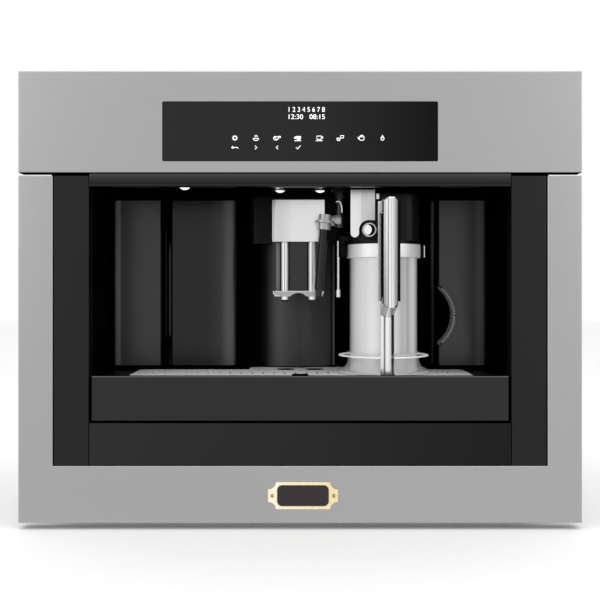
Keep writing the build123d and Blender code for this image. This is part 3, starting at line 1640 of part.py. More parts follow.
with BuildPart() as grinding_burr:
    with BuildSketch(grinder_plane):
        outline(
            (
                (0, burr_bottom),
                (burr_radius, burr_bottom),
                (burr_tip_radius, burr_bottom + burr_height),
                (0, burr_bottom + burr_height),
            )
        )
    revolve(axis=Axis((hopper_x, hopper_y, 0), (0, 0, 1)))
    # cutting flutes up the cone
    for flute in range(burr_flutes):
        angle = 2 * math.pi * flute / burr_flutes
        with BuildSketch(Plane.XY.offset(burr_bottom)):
            with Locations((hopper_x + burr_radius * math.cos(angle), hopper_y + burr_radius * math.sin(angle))):
                Rectangle(3, 3, rotation=math.degrees(angle) + 45)
        with BuildSketch(Plane.XY.offset(burr_bottom + burr_height)):
            tip = burr_tip_radius
            with Locations((hopper_x + tip * math.cos(angle + 0.3), hopper_y + tip * math.sin(angle + 0.3))):
                Rectangle(3, 3, rotation=math.degrees(angle + 0.3) + 45)
        loft(mode=Mode.SUBTRACT)
    rod(
        Plane(origin=(hopper_x, hopper_y, grinder_bottom - 10), z_dir=(0, 0, 1)),
        burr_shaft_radius,
        burr_bottom - grinder_bottom + 10,
    )

with BuildPart() as grinder_motor:
    rod(Plane(origin=(hopper_x, hopper_y, motor_bottom), z_dir=(0, 0, 1)), motor_radius, motor_height - 8)
    fillet(grinder_motor.edges().filter_by(GeomType.CIRCLE).sort_by(Axis.Z)[0], 4)
    rod(Plane(origin=(hopper_x, hopper_y, grinder_bottom - 8), z_dir=(0, 0, 1)), motor_radius - 6, 8)
    rod(
        Plane(origin=(hopper_x, hopper_y, grinder_bottom - 12), z_dir=(0, 0, 1)),
        burr_shaft_radius + burr_shaft_play,
        12,
        Mode.SUBTRACT,
    )

with BuildPart() as grind_knob:
    stem_plane = Plane(origin=(grind_knob_x, hopper_y, chassis_top + panel_gap), z_dir=(0, 0, 1))
    rod(stem_plane, grind_knob_radius, grind_knob_height)
    fillet(grind_knob.edges().filter_by(GeomType.CIRCLE).sort_by(Axis.Z)[-1], 1)
    rod(stem_plane, grind_stem_radius, -grind_stem_length)
    block(
        (grind_knob_x - 1, grind_knob_x + 1),
        (hopper_y - grind_knob_radius + 1, hopper_y - 2),
        (chassis_top + grind_knob_height - 0.3, chassis_top + grind_knob_height + panel_gap),
        Mode.SUBTRACT,
    )


# ---------------------------------------------------------------- brew unit and drive

brew_left = partition_x + bay_wall / 2 + brew_play
brew_right = recess_left - niche_wall - bay_wall - brew_play
brew_middle = (brew_left + brew_right) / 2
brew_y = funnel_y
brew_top = block_bottom + brew_height
brew_plane = Plane(origin=(funnel_x, brew_y, brew_piston_bottom), z_dir=(0, 0, 1))

with BuildPart() as brew_unit:
    # a frame of base and side plates, open at the front and back
    block((brew_left, brew_right), (brew_front, brew_front + brew_depth), (bay_floor, brew_top))
    fillet(brew_unit.edges().filter_by(Axis.X).group_by(Axis.Z)[-1], brew_frame_round)
    block(
        (brew_left + brew_frame_wall, brew_right - brew_frame_wall),
        (brew_front - 1, brew_front + brew_depth + 1),
        (bay_floor + brew_frame_base, brew_top + 1),
        Mode.SUBTRACT,
    )
    # brewing cylinder on its bridge
    block(
        (brew_left + brew_frame_wall, brew_right - brew_frame_wall),
        (brew_y - brew_bridge_depth / 2, brew_y + brew_bridge_depth / 2),
        (brew_piston_bottom, brew_piston_bottom + brew_bridge_thickness),
    )
    rod(brew_plane, brew_cylinder_radius, brew_top - brew_piston_bottom)
    rod(brew_plane.offset(brew_chamber_floor), brew_bore, brew_top, Mode.SUBTRACT)
    rod(brew_plane, brew_rod_radius + brew_piston_play, brew_bridge_thickness, Mode.SUBTRACT)

with BuildPart() as brew_piston:
    rod(brew_plane.offset(brew_chamber_floor + slide_gap), brew_bore - brew_piston_play, brew_piston_height)
    rod(brew_plane.offset(-brew_rod_drop), brew_rod_radius, brew_rod_drop + brew_chamber_floor + slide_gap)

with BuildPart() as brew_drive:
    drive_front = bay_rear
    block(
        (brew_middle - drive_width / 2, brew_middle + drive_width / 2),
        (drive_front, drive_front + 8),
        (block_bottom + 20, block_bottom + 20 + drive_height),
    )
    fillet(brew_drive.edges().filter_by(Axis.Y), 6)
    rod(
        Plane(origin=(brew_middle, drive_front + 8, block_bottom + 20 + drive_height / 2), z_dir=(0, 1, 0)),
        18,
        drive_depth - 14,
    )


# ---------------------------------------------------------------- pump, heater and mains

with BuildPart() as pump:
    pump_z = chassis_bottom + sheet + pump_radius + 8
    pump_plane = Plane(origin=(pump_x, pump_y - pump_length / 2, pump_z), z_dir=(0, 1, 0))
    rod(pump_plane, pump_radius * 0.45, pump_length)
    rod(pump_plane.offset(pump_length * 0.2), pump_radius, pump_length * 0.6)
    for foot_y in (pump_y - pump_length * 0.38, pump_y + pump_length * 0.38):
        block(
            (pump_x - pump_radius, pump_x + pump_radius),
            (foot_y - 3, foot_y + 3),
            (chassis_bottom + sheet, pump_z + 4),
        )

with BuildPart() as thermoblock:
    heater_z = chassis_bottom + sheet + heater_radius + 6
    heater_plane = Plane(origin=(heater_x, heater_y, heater_z), z_dir=(0, 1, 0))
    rod(heater_plane, heater_radius, heater_thickness)
    with BuildSketch(heater_plane.offset(heater_thickness)):
        with PolarLocations(heater_radius * 0.62, heater_ribs):
            Rectangle(heater_radius * 0.5, 4)
    extrude(amount=5)
    rod(heater_plane.offset(heater_thickness), 8, 12)
    for foot_x in (heater_x - 30, heater_x + 22):
        block(
            (foot_x, foot_x + 8),
            (heater_y + 4, heater_y + heater_thickness - 4),
            (chassis_bottom + sheet, heater_z - heater_radius * 0.7),
        )

rear_face = chassis_depth
socket_z = inlet_z + socket_height / 2 + 8
rocker_z = inlet_z + inlet_height - rocker_height / 2 - 9
with BuildPart() as power_inlet:
    with BuildSketch(front_plane(rear_face)):
        with Locations((inlet_x, inlet_z + inlet_height / 2)):
            RectangleRounded(inlet_width, inlet_height, 4)
    extrude(amount=-inlet_flange)
    block(
        (inlet_x - inlet_width / 2 + 4.2, inlet_x + inlet_width / 2 - 4.2),
        (rear_face - inlet_depth, rear_face),
        (inlet_z + 4.2, inlet_z + inlet_height - 4.2),
    )
    # appliance socket with its three pins
    with BuildSketch(front_plane(rear_face + inlet_flange)):
        with Locations((inlet_x, socket_z)):
            Rectangle(socket_width, socket_height)
            chamfer(vertices().group_by(Axis.Y)[-1], 4)
    extrude(amount=16, mode=Mode.SUBTRACT)
    with BuildSketch(front_plane(rear_face + inlet_flange - 16)):
        with Locations((inlet_x - 7, socket_z - 2), (inlet_x, socket_z + 2), (inlet_x + 7, socket_z - 2)):
            Rectangle(2, 4)
    extrude(amount=-11)
    # well for the rocker, with two pivot bores
    block(
        (inlet_x - rocker_width / 2 - rocker_play, inlet_x + rocker_width / 2 + rocker_play),
        (rear_face - 12, rear_face + inlet_flange),
        (rocker_z - rocker_height / 2 - rocker_play, rocker_z + rocker_height / 2 + rocker_play),
        Mode.SUBTRACT,
    )
    rod(
        Plane(origin=(inlet_x - rocker_width / 2 - 2.5, rear_face - 1, rocker_z), z_dir=(1, 0, 0)),
        rocker_pin_radius + 0.06,
        rocker_width + 5,
        Mode.SUBTRACT,
    )

tilt = math.radians(rocker_tilt)
rocker_plane = Plane(
    origin=(inlet_x - rocker_width / 2, rear_face - 1, rocker_z),
    x_dir=(0, math.cos(tilt), math.sin(tilt)),
    z_dir=(1, 0, 0),
)
with BuildPart() as main_switch:
    rocker_half = rocker_height / 2
    with BuildSketch(rocker_plane):
        outline(
            (
                (inlet_flange + 1.2, rocker_half - 0.6),
                (inlet_flange - 0.6, 0),
                (inlet_flange + 1.2, 0.6 - rocker_half),
                (-2.0, 1.6 - rocker_half),
                (-5.0, 0),
                (-2.0, rocker_half - 1.6),
            )
        )
    extrude(amount=rocker_width)
    rod(
        Plane(origin=(inlet_x - rocker_width / 2 - 2, rear_face - 1, rocker_z), z_dir=(1, 0, 0)),
        rocker_pin_radius,
        rocker_width + 4,
    )


# ---------------------------------------------------------------- export

pieces = {
    "cabinet_rails": cabinet_rails,
    "middle_rails": middle_rails,
    "machine_rails": machine_rails,
    "chassis_base": chassis_base,
    "side_panels": side_panels,
    "rear_panel": rear_panel,
    "top_cover": top_cover,
    "front_carrier": front_carrier,
    "front_frame": front_frame,
    "control_fascia": control_fascia,
    "display_glass": display_glass,
    "circuit_boards": circuit_boards,
    "name_plate": name_plate,
    "side_trims": side_trims,
    "visor": visor,
    "lower_fascia": lower_fascia,
    "niche_liner": niche_liner,
    "recess_wall": recess_wall,
    "left_bay": left_bay,
    "tank_bay": tank_bay,
    "tray_shelf": tray_shelf,
    "niche_lamps": niche_lamps,
    "grounds_container": grounds_container,
    "hinge_pin": hinge_pin,
    "service_door": service_door,
    "water_tank": water_tank,
    "tank_lid": tank_lid,
    "drip_tray": drip_tray,
    "tray_front": tray_front,
    "cup_grid": cup_grid,
    "tray_float": tray_float,
    "spout_housing": spout_housing,
    "spout_cover": spout_cover,
    "spout_body": spout_body,
    "spout_tubes": spout_tubes,
    "steam_fittings": steam_fittings,
    "wand_pipe": wand_pipe,
    "wand_sleeve": wand_sleeve,
    "carafe_glass": carafe_glass,
    "carafe_foot": carafe_foot,
    "carafe_lid": carafe_lid,
    "lid_trim": lid_trim,
    "froth_knob": froth_knob,
    "carafe_handle": carafe_handle,
    "milk_spout": milk_spout,
    "bean_hopper": bean_hopper,
    "hopper_lid": hopper_lid,
    "funnel_lid": funnel_lid,
    "coffee_funnel": coffee_funnel,
    "grinder_housing": grinder_housing,
    "grinding_burr": grinding_burr,
    "grinder_motor": grinder_motor,
    "grind_knob": grind_knob,
    "brew_unit": brew_unit,
    "brew_piston": brew_piston,
    "brew_drive": brew_drive,
    "pump": pump,
    "thermoblock": thermoblock,
    "power_inlet": power_inlet,
    "main_switch": main_switch,
}

os.makedirs("parts", exist_ok=True)
for name, piece in pieces.items():
    piece.part.label = name
    export_step(piece.part, f"parts/{name}.step")
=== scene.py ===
"""Looks of a built-in coffee machine: finishes, lit marks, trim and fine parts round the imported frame."""

import json
import math

import bmesh
import bpy
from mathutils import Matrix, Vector

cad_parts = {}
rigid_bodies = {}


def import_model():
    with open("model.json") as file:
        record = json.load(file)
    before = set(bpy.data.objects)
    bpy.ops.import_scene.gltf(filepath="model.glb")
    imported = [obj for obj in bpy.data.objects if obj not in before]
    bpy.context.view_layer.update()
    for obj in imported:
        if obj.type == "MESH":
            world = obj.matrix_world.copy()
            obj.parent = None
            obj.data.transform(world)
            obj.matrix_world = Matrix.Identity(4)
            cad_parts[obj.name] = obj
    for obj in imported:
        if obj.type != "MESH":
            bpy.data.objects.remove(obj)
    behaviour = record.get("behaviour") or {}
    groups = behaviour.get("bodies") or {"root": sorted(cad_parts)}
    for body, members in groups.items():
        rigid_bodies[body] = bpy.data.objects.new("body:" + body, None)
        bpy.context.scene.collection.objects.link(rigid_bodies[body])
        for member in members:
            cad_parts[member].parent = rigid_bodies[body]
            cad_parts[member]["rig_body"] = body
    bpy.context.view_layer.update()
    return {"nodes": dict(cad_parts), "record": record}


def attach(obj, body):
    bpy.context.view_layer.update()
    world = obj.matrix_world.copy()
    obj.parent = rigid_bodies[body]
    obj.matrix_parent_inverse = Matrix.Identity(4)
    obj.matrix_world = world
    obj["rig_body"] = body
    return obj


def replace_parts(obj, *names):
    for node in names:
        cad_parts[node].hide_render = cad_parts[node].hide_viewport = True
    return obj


MM = 0.001
X, Z = 0, 2

bpy.context.scene.view_settings.view_transform = "Standard"
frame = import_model()
nodes = frame["nodes"]


# -------------------------------- kinds of material

NOISE_DETAIL = 3.0
NOISE_ROUGHNESS = 0.55
BUMP_DEPTH = 0.1 * MM
BRUSH_SCALE = 1400
BRUSH_STRETCH = 0.012
CLEAR_SCALE = 25
CLEAR_STRETCH = (1, 1, 0.15)
EVEN = (1, 1, 1)


class Shading:
    """A Principled material with its object-space noise, mottling and bump."""

    def __init__(self, name, color, roughness, metallic=0.0, specular=0.5, ior=1.5):
        self.color = as_color(color)
        self.roughness = roughness
        self.material = bpy.data.materials.new(name)
        self.material.use_nodes = True
        self.tree = self.material.node_tree
        self.shader = self.tree.nodes["Principled BSDF"]
        self.shader.inputs["Base Color"].default_value = (*self.color, 1)
        self.shader.inputs["Roughness"].default_value = roughness
        self.shader.inputs["Metallic"].default_value = metallic
        self.shader.inputs["Specular IOR Level"].default_value = specular
        self.shader.inputs["IOR"].default_value = ior
        self.place = self.tree.nodes.new("ShaderNodeTexCoord")
        self.painted = None

    def set(self, **sockets):
        """Values of more sockets of the shader, with _ for a space in their names."""
        for socket, value in sockets.items():
            self.shader.inputs[socket.replace("_", " ")].default_value = value
        return self

    def noise(self, scale, stretch):
        """Noise over the object's own coordinates, finer along the axes with a large stretch."""
        mapping = self.tree.nodes.new("ShaderNodeMapping")
        mapping.inputs["Scale"].default_value = stretch
        self.tree.links.new(self.place.outputs["Object"], mapping.inputs["Vector"])
        texture = self.tree.nodes.new("ShaderNodeTexNoise")
        texture.inputs["Scale"].default_value = scale
        texture.inputs["Detail"].default_value = NOISE_DETAIL
        texture.inputs["Roughness"].default_value = NOISE_ROUGHNESS
        self.tree.links.new(mapping.outputs["Vector"], texture.inputs["Vector"])
        return texture.outputs["Fac"]

    def spread(self, value, low, high, start=0.25, end=0.75):
        """A value between start and end mapped to a range."""
        ranged = self.tree.nodes.new("ShaderNodeMapRange")
        ranged.inputs["From Min"].default_value = start
        ranged.inputs["From Max"].default_value = end
        ranged.inputs["To Min"].default_value = low
        ranged.inputs["To Max"].default_value = high
        self.tree.links.new(value, ranged.inputs["Value"])
        return ranged.outputs["Result"]

    def graded(self, axis, stops):
        """Painted light and shade: base colour that changes along an axis of the object: (place in mm, grey
        or colour) stops.
        """
        split = self.tree.nodes.new("ShaderNodeSeparateXYZ")
        self.tree.links.new(self.place.outputs["Object"], split.inputs["Vector"])
        low, high = stops[0][0], stops[-1][0]
        along = self.spread(split.outputs[axis], 0.0, 1.0, low * MM, high * MM)
        ramp = self.tree.nodes.new("ShaderNodeValToRGB")
        elements = ramp.color_ramp.elements
        elements[0].position, elements[1].position = 0.0, 1.0
        ends = (elements[0], elements[1])
        for element, (_, color) in zip(ends, (stops[0], stops[-1])):
            element.color = (*as_color(color), 1)
        for place, color in stops[1:-1]:
            elements.new((place - low) / (high - low)).color = (*as_color(color), 1)
        self.tree.links.new(along, ramp.inputs["Fac"])
        self.painted = ramp.outputs["Color"]
        return self

    def grain(self, scale, stretch, rough, tone, bump):
        """One noise that moves roughness, tone and height together, as brushing or moulding does."""
        value = self.noise(scale, stretch)
        rough_value = self.spread(value, self.roughness - rough, self.roughness + rough)
        self.tree.links.new(rough_value, self.shader.inputs["Roughness"])
        self.tone(value, tone)
        height = self.tree.nodes.new("ShaderNodeBump")
        height.inputs["Strength"].default_value = bump
        height.inputs["Distance"].default_value = BUMP_DEPTH
        self.tree.links.new(value, height.inputs["Height"])
        self.tree.links.new(height.outputs["Normal"], self.shader.inputs["Normal"])
        return self

    def tone(self, value, share):
        """The base colour a little darker and lighter with a value."""
        mix = self.tree.nodes.new("ShaderNodeMix")
        mix.data_type = "RGBA"
        mix.blend_type = "MULTIPLY"
        mix.inputs["Factor"].default_value = 1
        mix.inputs["A"].default_value = (*self.color, 1)
        if self.painted is not None:
            self.tree.links.new(self.painted, mix.inputs["A"])
        self.tree.links.new(self.spread(value, 1 - share, 1, 0.2, 0.7), mix.inputs["B"])
        self.tree.links.new(mix.outputs["Result"], self.shader.inputs["Base Color"])


def as_color(value):
    """A grey or a colour as a colour."""
    return (value, value, value) if isinstance(value, (int, float)) else value


def brushed(name, color, roughness, along, metallic=1.0, bump=0.04, tone=0.05, graded=None):
    """Brushed metal: streaks that run along one axis."""
    stretch = [1.0, 1.0, 1.0]
    stretch[along] = BRUSH_STRETCH
    shading = Shading(name, color, roughness, metallic)
    if graded:
        shading.graded(*graded)
    return shading.grain(BRUSH_SCALE, stretch, 0.04, tone, bump).material


def satin(name, graded=None):
    """Light steel with very fine upright streaks."""
    return brushed(name, 0.72, 0.3, Z, bump=0.012, tone=0.02, graded=graded)


def moulded(name, color, roughness, specular, scale, bump, tone=0.2, graded=None):
    """Moulded plastic: fine skin texture with slow changes of gloss."""
    shading = Shading(name, color, roughness, 0.0, specular)
    if graded:
        shading.graded(*graded)
    return shading.grain(scale, EVEN, 0.05, tone, bump).material


def polished(name, color, roughness):
    """Polished plating with faint smears."""
    return Shading(name, color, roughness, 1.0).grain(60, EVEN, 0.03, 0.03, 0.01).material


def clear(name, color, roughness, transmission, ior=1.5, graded=None):
    """Solid clear plastic or glass."""
    shading = Shading(name, color, roughness, ior=ior).set(Transmission_Weight=transmission)
    if graded:
        shading.graded(*graded)
    return shading.grain(CLEAR_SCALE, CLEAR_STRETCH, 0.04, 0.03, 0.02).material


def thin_clear(name, color, roughness, cover):
    """A thin clear wall: light passes straight through what it doesn't cover."""
    shading = Shading(name, color, roughness).set(Alpha=cover)
    return shading.grain(CLEAR_SCALE, CLEAR_STRETCH, 0.04, 0.03, 0.01).material


def lit(name, color, strength):
    """A surface that gives light of its own."""
    shading = Shading(name, color, 0.4).set(Emission_Color=(*color, 1), Emission_Strength=strength)
    return shading.grain(2500, EVEN, 0.05, 0.02, 0.02).material


def sheet(name, color, roughness, metallic, scale, stretch=EVEN, tone=0.12, bump=0.05):
    """Sheet or cast material with a mottled skin."""
    return Shading(name, color, roughness, metallic).grain(scale, stretch, 0.07, tone, bump).material


def pale_brass():
    """Pale brass with painted shade that darkens it to the right."""
    shading = Shading("pale_brass", (0.9, 0.8, 0.5), 0.26, 0.6).graded(X, BRASS_PAINTED_SHADE)
    return shading.grain(220, (0.2, 1, 1), 0.05, 0.05, 0.02).material


# -------------------------------- materials

# painted light and shade along one axis of an object, in place of its highlights, shade and reflections:
# (place in mm, grey or colour)
# painted shade and highlight on the spout cover: a bright left edge, a darker strip and a darker patch left
# of the middle
COVER_PAINTED_SHADE = [
    (-31.4, 0.80), (-30.4, 0.72), (-27.2, 0.72), (-26.8, 0.62), (-20, 0.66), (-8, 0.78), (27.4, 0.80),
]
# painted light and shade on the plate of the carafe's band: a lighter left facet, a darker middle band and a
# bright right edge
PLATE_PAINTED_SHADE = [(55, 0.82), (60, 0.80), (66, 0.76), (66.5, 0.62), (80.6, 0.60), (81.3, 0.85)]
# painted light and shade on the handle's grip: each facet its own lit or shaded grey, with dark and bright
# lines between facets
GRIP_PAINTED_LIGHT = [
    (86.4, 0.22), (89.0, 0.38), (91.2, 0.46), (91.6, 0.88), (93.9, 0.82), (94.2, 0.55), (94.6, 0.55),
    (94.9, 0.8), (97.6, 0.56), (97.9, 0.35), (100.2, 0.3), (100.6, 0.07), (101.5, 0.05),
]
# painted light and shade on the handle's back strip: each facet its own lit or shaded grey, with a dark line
# by the groove
STRIP_PAINTED_LIGHT = [
    (84, 0.8), (86.5, 0.8), (87.5, 0.75), (90.6, 0.85), (91.0, 0.5), (91.6, 0.5), (92.0, 0.85),
    (94.5, 0.85), (98.6, 0.5), (99.0, 0.2), (100.4, 0.2), (100.8, 0.7), (101.5, 0.7),
]
# painted shade on the name plate's brass: pale at the left, darker to the right
BRASS_PAINTED_SHADE = [(-34, (1.0, 0.93, 0.70)), (0, (0.98, 0.88, 0.60)), (40, (0.90, 0.76, 0.42))]
# painted reflection on the display glass: a faint grey at the left, fading to black at the right
DISPLAY_PAINTED_REFLECTION = [(-145, 0.018), (20, 0.016), (150, 0.001)]
# painted light on the visor: a thin painted highlight line at its lower lip, then a painted reflection
# lighter towards the top
VISOR_PAINTED_LIGHT = [
    (355.4, 0.0), (355.8, 0.012), (356.5, 0.012), (356.9, 0.0), (358.4, 0.0), (360.5, 0.010), (362.6, 0.0146),
    (365.0, 0.0257), (367.0, 0.0385), (368.0, 0.055),
]
# painted reflection on the lower fascia: lighter at the left, darker to the right
LOWER_PAINTED_REFLECTION = [(-222, 0.015), (0, 0.010), (120, 0.004), (222, 0.001)]
# painted highlight along the rounded left edge of the grounds container
CONTAINER_PAINTED_HIGHLIGHT = [
    (-222, 0.15), (-219.5, 0.26), (-218, 0.27), (-215.5, 0.22), (-213.5, 0.15), (-211.8, 0.05), (-207, 0.05),
    (-165, 0.04),
]
# painted highlight along the rounded right edge of the service door
DOOR_PAINTED_HIGHLIGHT = [(-153, 0.001), (-110, 0.001), (-94, 0.02), (-86, 0.08), (-81, 0.08), (-77, 0.02), (-74, 0.004)]
# painted light on the water tank, lighter towards a painted highlight along its rounded right edge
TANK_PAINTED_HIGHLIGHT = [(165, 0.055), (195, 0.07), (206, 0.06), (211, 0.11), (219, 0.13), (222, 0.12)]
# painted highlight and shade on the column under the spout: dark at the left, a highlight left of the middle,
# a bright right edge
COLUMN_PAINTED_HIGHLIGHT = [
    (-50, 0.002), (-41, 0.01), (-33, 0.05), (-24, 0.08), (-12, 0.045), (0, 0.035), (36, 0.11), (39, 0.01),
    (41, 0.4),
]
# painted light on the recess rod: near black at its foot, lighter towards the top
ROD_PAINTED_FADE = [(156, 0.003), (240, 0.008), (300, 0.05), (351, 0.05)]
# painted light on the carafe's vessel: upright light and dark bands in place of its reflections and
# refraction
VESSEL_PAINTED_LIGHT = [
    (56, 0.42), (58.5, 0.8), (63, 0.9), (72, 0.88), (79, 0.98), (84, 0.96), (104, 0.9), (111, 0.56),
    (115.5, 0.66), (118, 0.5), (121, 0.78), (125, 0.98), (128, 0.8), (132, 0.42),
]

# brushed: name, grey or colour, roughness, direction of the streaks, metal share
front_steel = brushed("front_steel", (0.425, 0.418, 0.421), 0.34, X)
silver = satin("satin_silver")
# the spout cover's steel carries painted shade and a painted highlight along X
cover_steel = satin("cover_steel", (X, COVER_PAINTED_SHADE))
# the band plate's steel carries painted light and shade along X
plate_steel = satin("plate_steel", (X, PLATE_PAINTED_SHADE))
satin_band = brushed("satin_band", 0.92, 0.42, Z, 0.35)
tube_chrome = brushed("tube_chrome", 0.88, 0.38, Z, 0.6)
wand_light = brushed("wand_light", 0.40, 0.36, X, 0.75)
elbow_grey = brushed("elbow_grey", 0.40, 0.42, Z, 0.4)
rim_steel = brushed("rim_steel", 0.42, 0.3, X)
grid_steel = brushed("grid_steel", 0.97, 0.5, X, 0.0)
chrome = polished("chrome_plate", (0.86, 0.86, 0.87), 0.07)
# the grip's metal carries painted light and shade facet by facet
bright_metal = brushed("bright_metal", 0.80, 0.22, Z, 0.9, tone=0.03, graded=(X, GRIP_PAINTED_LIGHT))
# the strip's metal carries painted light and shade facet by facet
strip_metal = brushed("strip_metal", 0.80, 0.24, Z, 0.9, tone=0.03, graded=(X, STRIP_PAINTED_LIGHT))
zinc_sheet = sheet("zinc_sheet", (0.50, 0.51, 0.52), 0.42, 0.85, 45)
rail_zinc = sheet("rail_zinc", (0.60, 0.61, 0.62), 0.3, 0.9, 70, (1, 0.1, 1))
cast_metal = sheet("cast_metal", (0.62, 0.62, 0.63), 0.5, 0.8, 500, bump=0.4)
ground_steel = brushed("ground_steel", (0.5, 0.5, 0.52), 0.3, Z)
brass = pale_brass()
brass_edge = sheet("aged_brass", (0.30, 0.20, 0.09), 0.4, 0.8, 300, tone=0.2)

# moulded: name, grey or colour, roughness, specular, scale and height of the skin, tone
plate_black = moulded("plate_enamel", (0.026, 0.022, 0.024), 0.3, 0.26, 700, 0.05)
# the display's black carries a painted reflection along X
display_black = moulded("display_black", 0.01, 0.05, 0.10, 400, 0.01, 0.06, (X, DISPLAY_PAINTED_REFLECTION))
trim_black = moulded("trim_black", 0.006, 0.36, 0.24, 1500, 0.06)
# the visor's black carries painted light along Z
visor_black = moulded("visor_black", 0.010, 0.34, 0.25, 1500, 0.06, graded=(Z, VISOR_PAINTED_LIGHT))
tray_black = moulded("tray_black", 0.008, 0.34, 0.33, 1500, 0.06)
# the lower fascia's black carries a painted reflection along X
lower_black = moulded("lower_black", 0.006, 0.36, 0.2, 1500, 0.06, graded=(X, LOWER_PAINTED_REFLECTION))
niche_black = moulded("niche_black", 0.0003, 0.7, 0.015, 900, 0.12)
# painted shade: the steel hinge pins made black, darkening the groove beside the service door
pin_painted_shade = moulded("pin_painted_shade", 0.006, 0.5, 0.04, 900, 0.05)
# the grounds container's black carries a painted highlight along its left edge
container_black = moulded("container_black", 0.004, 0.24, 0.34, 1200, 0.03, graded=(X, CONTAINER_PAINTED_HIGHLIGHT))
# the service door's black carries a painted highlight along its right edge
door_black = moulded("door_black", 0.004, 0.24, 0.34, 1200, 0.03, graded=(X, DOOR_PAINTED_HIGHLIGHT))
# the tank's smoke plastic carries painted light and a painted highlight along X
tank_black = moulded("tank_smoke", 0.03, 0.24, 0.34, 1200, 0.02, 0.15, (X, TANK_PAINTED_HIGHLIGHT))
panel_black = moulded("panel_black", 0.004, 0.22, 0.30, 1200, 0.03)
panel_grey = moulded("panel_grey", 0.16, 0.4, 0.3, 1200, 0.03)
# the column's black carries a painted highlight and painted shade along X
column_black = moulded("column_black", 0.02, 0.34, 0.3, 1200, 0.03, graded=(X, COLUMN_PAINTED_HIGHLIGHT))
gloss_black = moulded("gloss_black", 0.006, 0.12, 0.45, 600, 0.015)
housing_black = moulded("housing_black", 0.003, 0.35, 0.12, 1200, 0.05)
# painted highlight: the light grey of the bevelled rim round the tank's grip scoop
scoop_painted_highlight = moulded("scoop_painted_highlight", 0.62, 0.5, 0.3, 1200, 0.05)
# the recess rod's grey is painted light along Z
rod_painted_light = moulded("rod_painted_light", 0.05, 0.4, 0.12, 1200, 0.05, graded=(Z, ROD_PAINTED_FADE))
lid_black = moulded("lid_black", 0.006, 0.30, 0.12, 600, 0.015)
deep_black = moulded("deep_black", 0.0012, 0.55, 0.08, 600, 0.05)
matt_black = moulded("matt_black", 0.0008, 0.95, 0.01, 600, 0.05)
rubber = moulded("sleeve_rubber", 0.006, 0.2, 0.3, 1600, 0.06)
inner_grey = moulded("inner_plastic", (0.10, 0.10, 0.105), 0.5, 0.4, 900, 0.15)
inner_black = moulded("inner_black", 0.010, 0.45, 0.3, 900, 0.15)
board_green = sheet("board_green", (0.02, 0.13, 0.06), 0.35, 0.0, 350, tone=0.3, bump=0.1)

hopper_smoke = clear("hopper_smoke", (0.30, 0.27, 0.24), 0.12, 0.8)
# the vessel's clear material carries painted light and painted reflections along X
vessel_clear = clear("vessel_clear", 0.97, 0.24, 0.16, 1.4, (X, VESSEL_PAINTED_LIGHT))
lens_clear = clear("lens_clear", 0.95, 0.08, 0.5)
foot_clear = thin_clear("foot_clear", 0.97, 0.1, 0.3)
sole_clear = thin_clear("sole_clear", 0.85, 0.12, 0.6)
# a painted glow: the foot's disc gives off light of its own, though it holds no lamp
disc_painted_glow = lit("disc_painted_glow", (0.88, 0.88, 0.88), 0.2)
lens_glow = lit("lens_glow", (0.95, 0.95, 0.93), 1.0)
mark_white = lit("mark_white", (0.92, 0.93, 0.92), 0.75)

SLOT_FINISH = {
    "brushed_steel": front_steel,
    "display": display_black,
    "trim_black": trim_black,
    "niche_black": niche_black,
    "front_black": panel_black,
    "tank_smoke": tank_black,
    "lens": lens_clear,
    "chrome": chrome,
    "grey_rubber": rubber,
    "clear_glass": vessel_clear,
    "sheet_steel": zinc_sheet,
    "rail_steel": rail_zinc,
    "board_green": board_green,
    "hopper_clear": hopper_smoke,
    "inner_plastic": inner_grey,
    "cast_metal": cast_metal,
    "burr_steel": ground_steel,
    "name_metal": brass,
    "pin_steel": pin_painted_shade,
    "spout_black": gloss_black,
    "switch_black": inner_black,
}
NODE_FINISH = {
    "visor": visor_black,
    "front_carrier": matt_black,
    "lower_fascia": lower_black,
    "tray_front": tray_black,
    "tray_shelf": matt_black,
    "tray_float": matt_black,
    "drip_tray": matt_black,
    "cup_grid": grid_steel,
    "grounds_container": container_black,
    "service_door": door_black,
    "spout_housing": housing_black,
    "spout_tubes": tube_chrome,
    "spout_cover": cover_steel,
    "lid_trim": satin_band,
    "carafe_lid": lid_black,
    "carafe_foot": foot_clear,
    "carafe_handle": bright_metal,
}
node_slots = {part["node"]: part["material_slot"] for part in frame["record"]["subparts"]}
for name, node in nodes.items():
    finish = NODE_FINISH.get(name, SLOT_FINISH[node_slots[name]])
    node.data.materials.clear()
    node.data.materials.append(finish)


# -------------------------------- second finishes on some faces

# places in mm that part one finish of a node from the other
SPOUT_X, SPOUT_Y = -2.0, 41.0
TUBE_OFFSET = 15.3
TUBE_OUTSIDE = 4.2
RIM_LOW, RIM_HIGH = 237.8, 244.2
DOOR_HINGE_END = -153.6
TRIM_INNER_FACE, TRIM_REACH = 222.6, 0.3
COLUMN_TOP, COLUMN_FACE = 299.9, 113.0
NOZZLE_END, NOZZLE_TOP = 43.55, 281.7
DISC_LOW, DISC_HIGH = 171.3, 172.9
SOLE_TOP = 155.8
BAND_TOP = 301.0
PIPE_BEND, SLEEVE_TOP = 37.5, 300.0
FRAME_UNDERSIDE, FRAME_GAP = 0.2, 365.6
FASCIA_GAP = 369.2
LAMP_PLACES = ((-23.2, 78.0), (23.2, 78.0), (-129.9, 47.0))
LAMP_RING, LAMP_DOME, LAMP_GLOW_RADIUS = 361.0, 360.6, 5.5
SCOOP_CENTRE = (142.4, 214.7)
SCOOP_RADIUS, SCOOP_MARGIN = 40.1, 1
SCOOP_FRONT, SCOOP_BACK = 100.5, 127.0


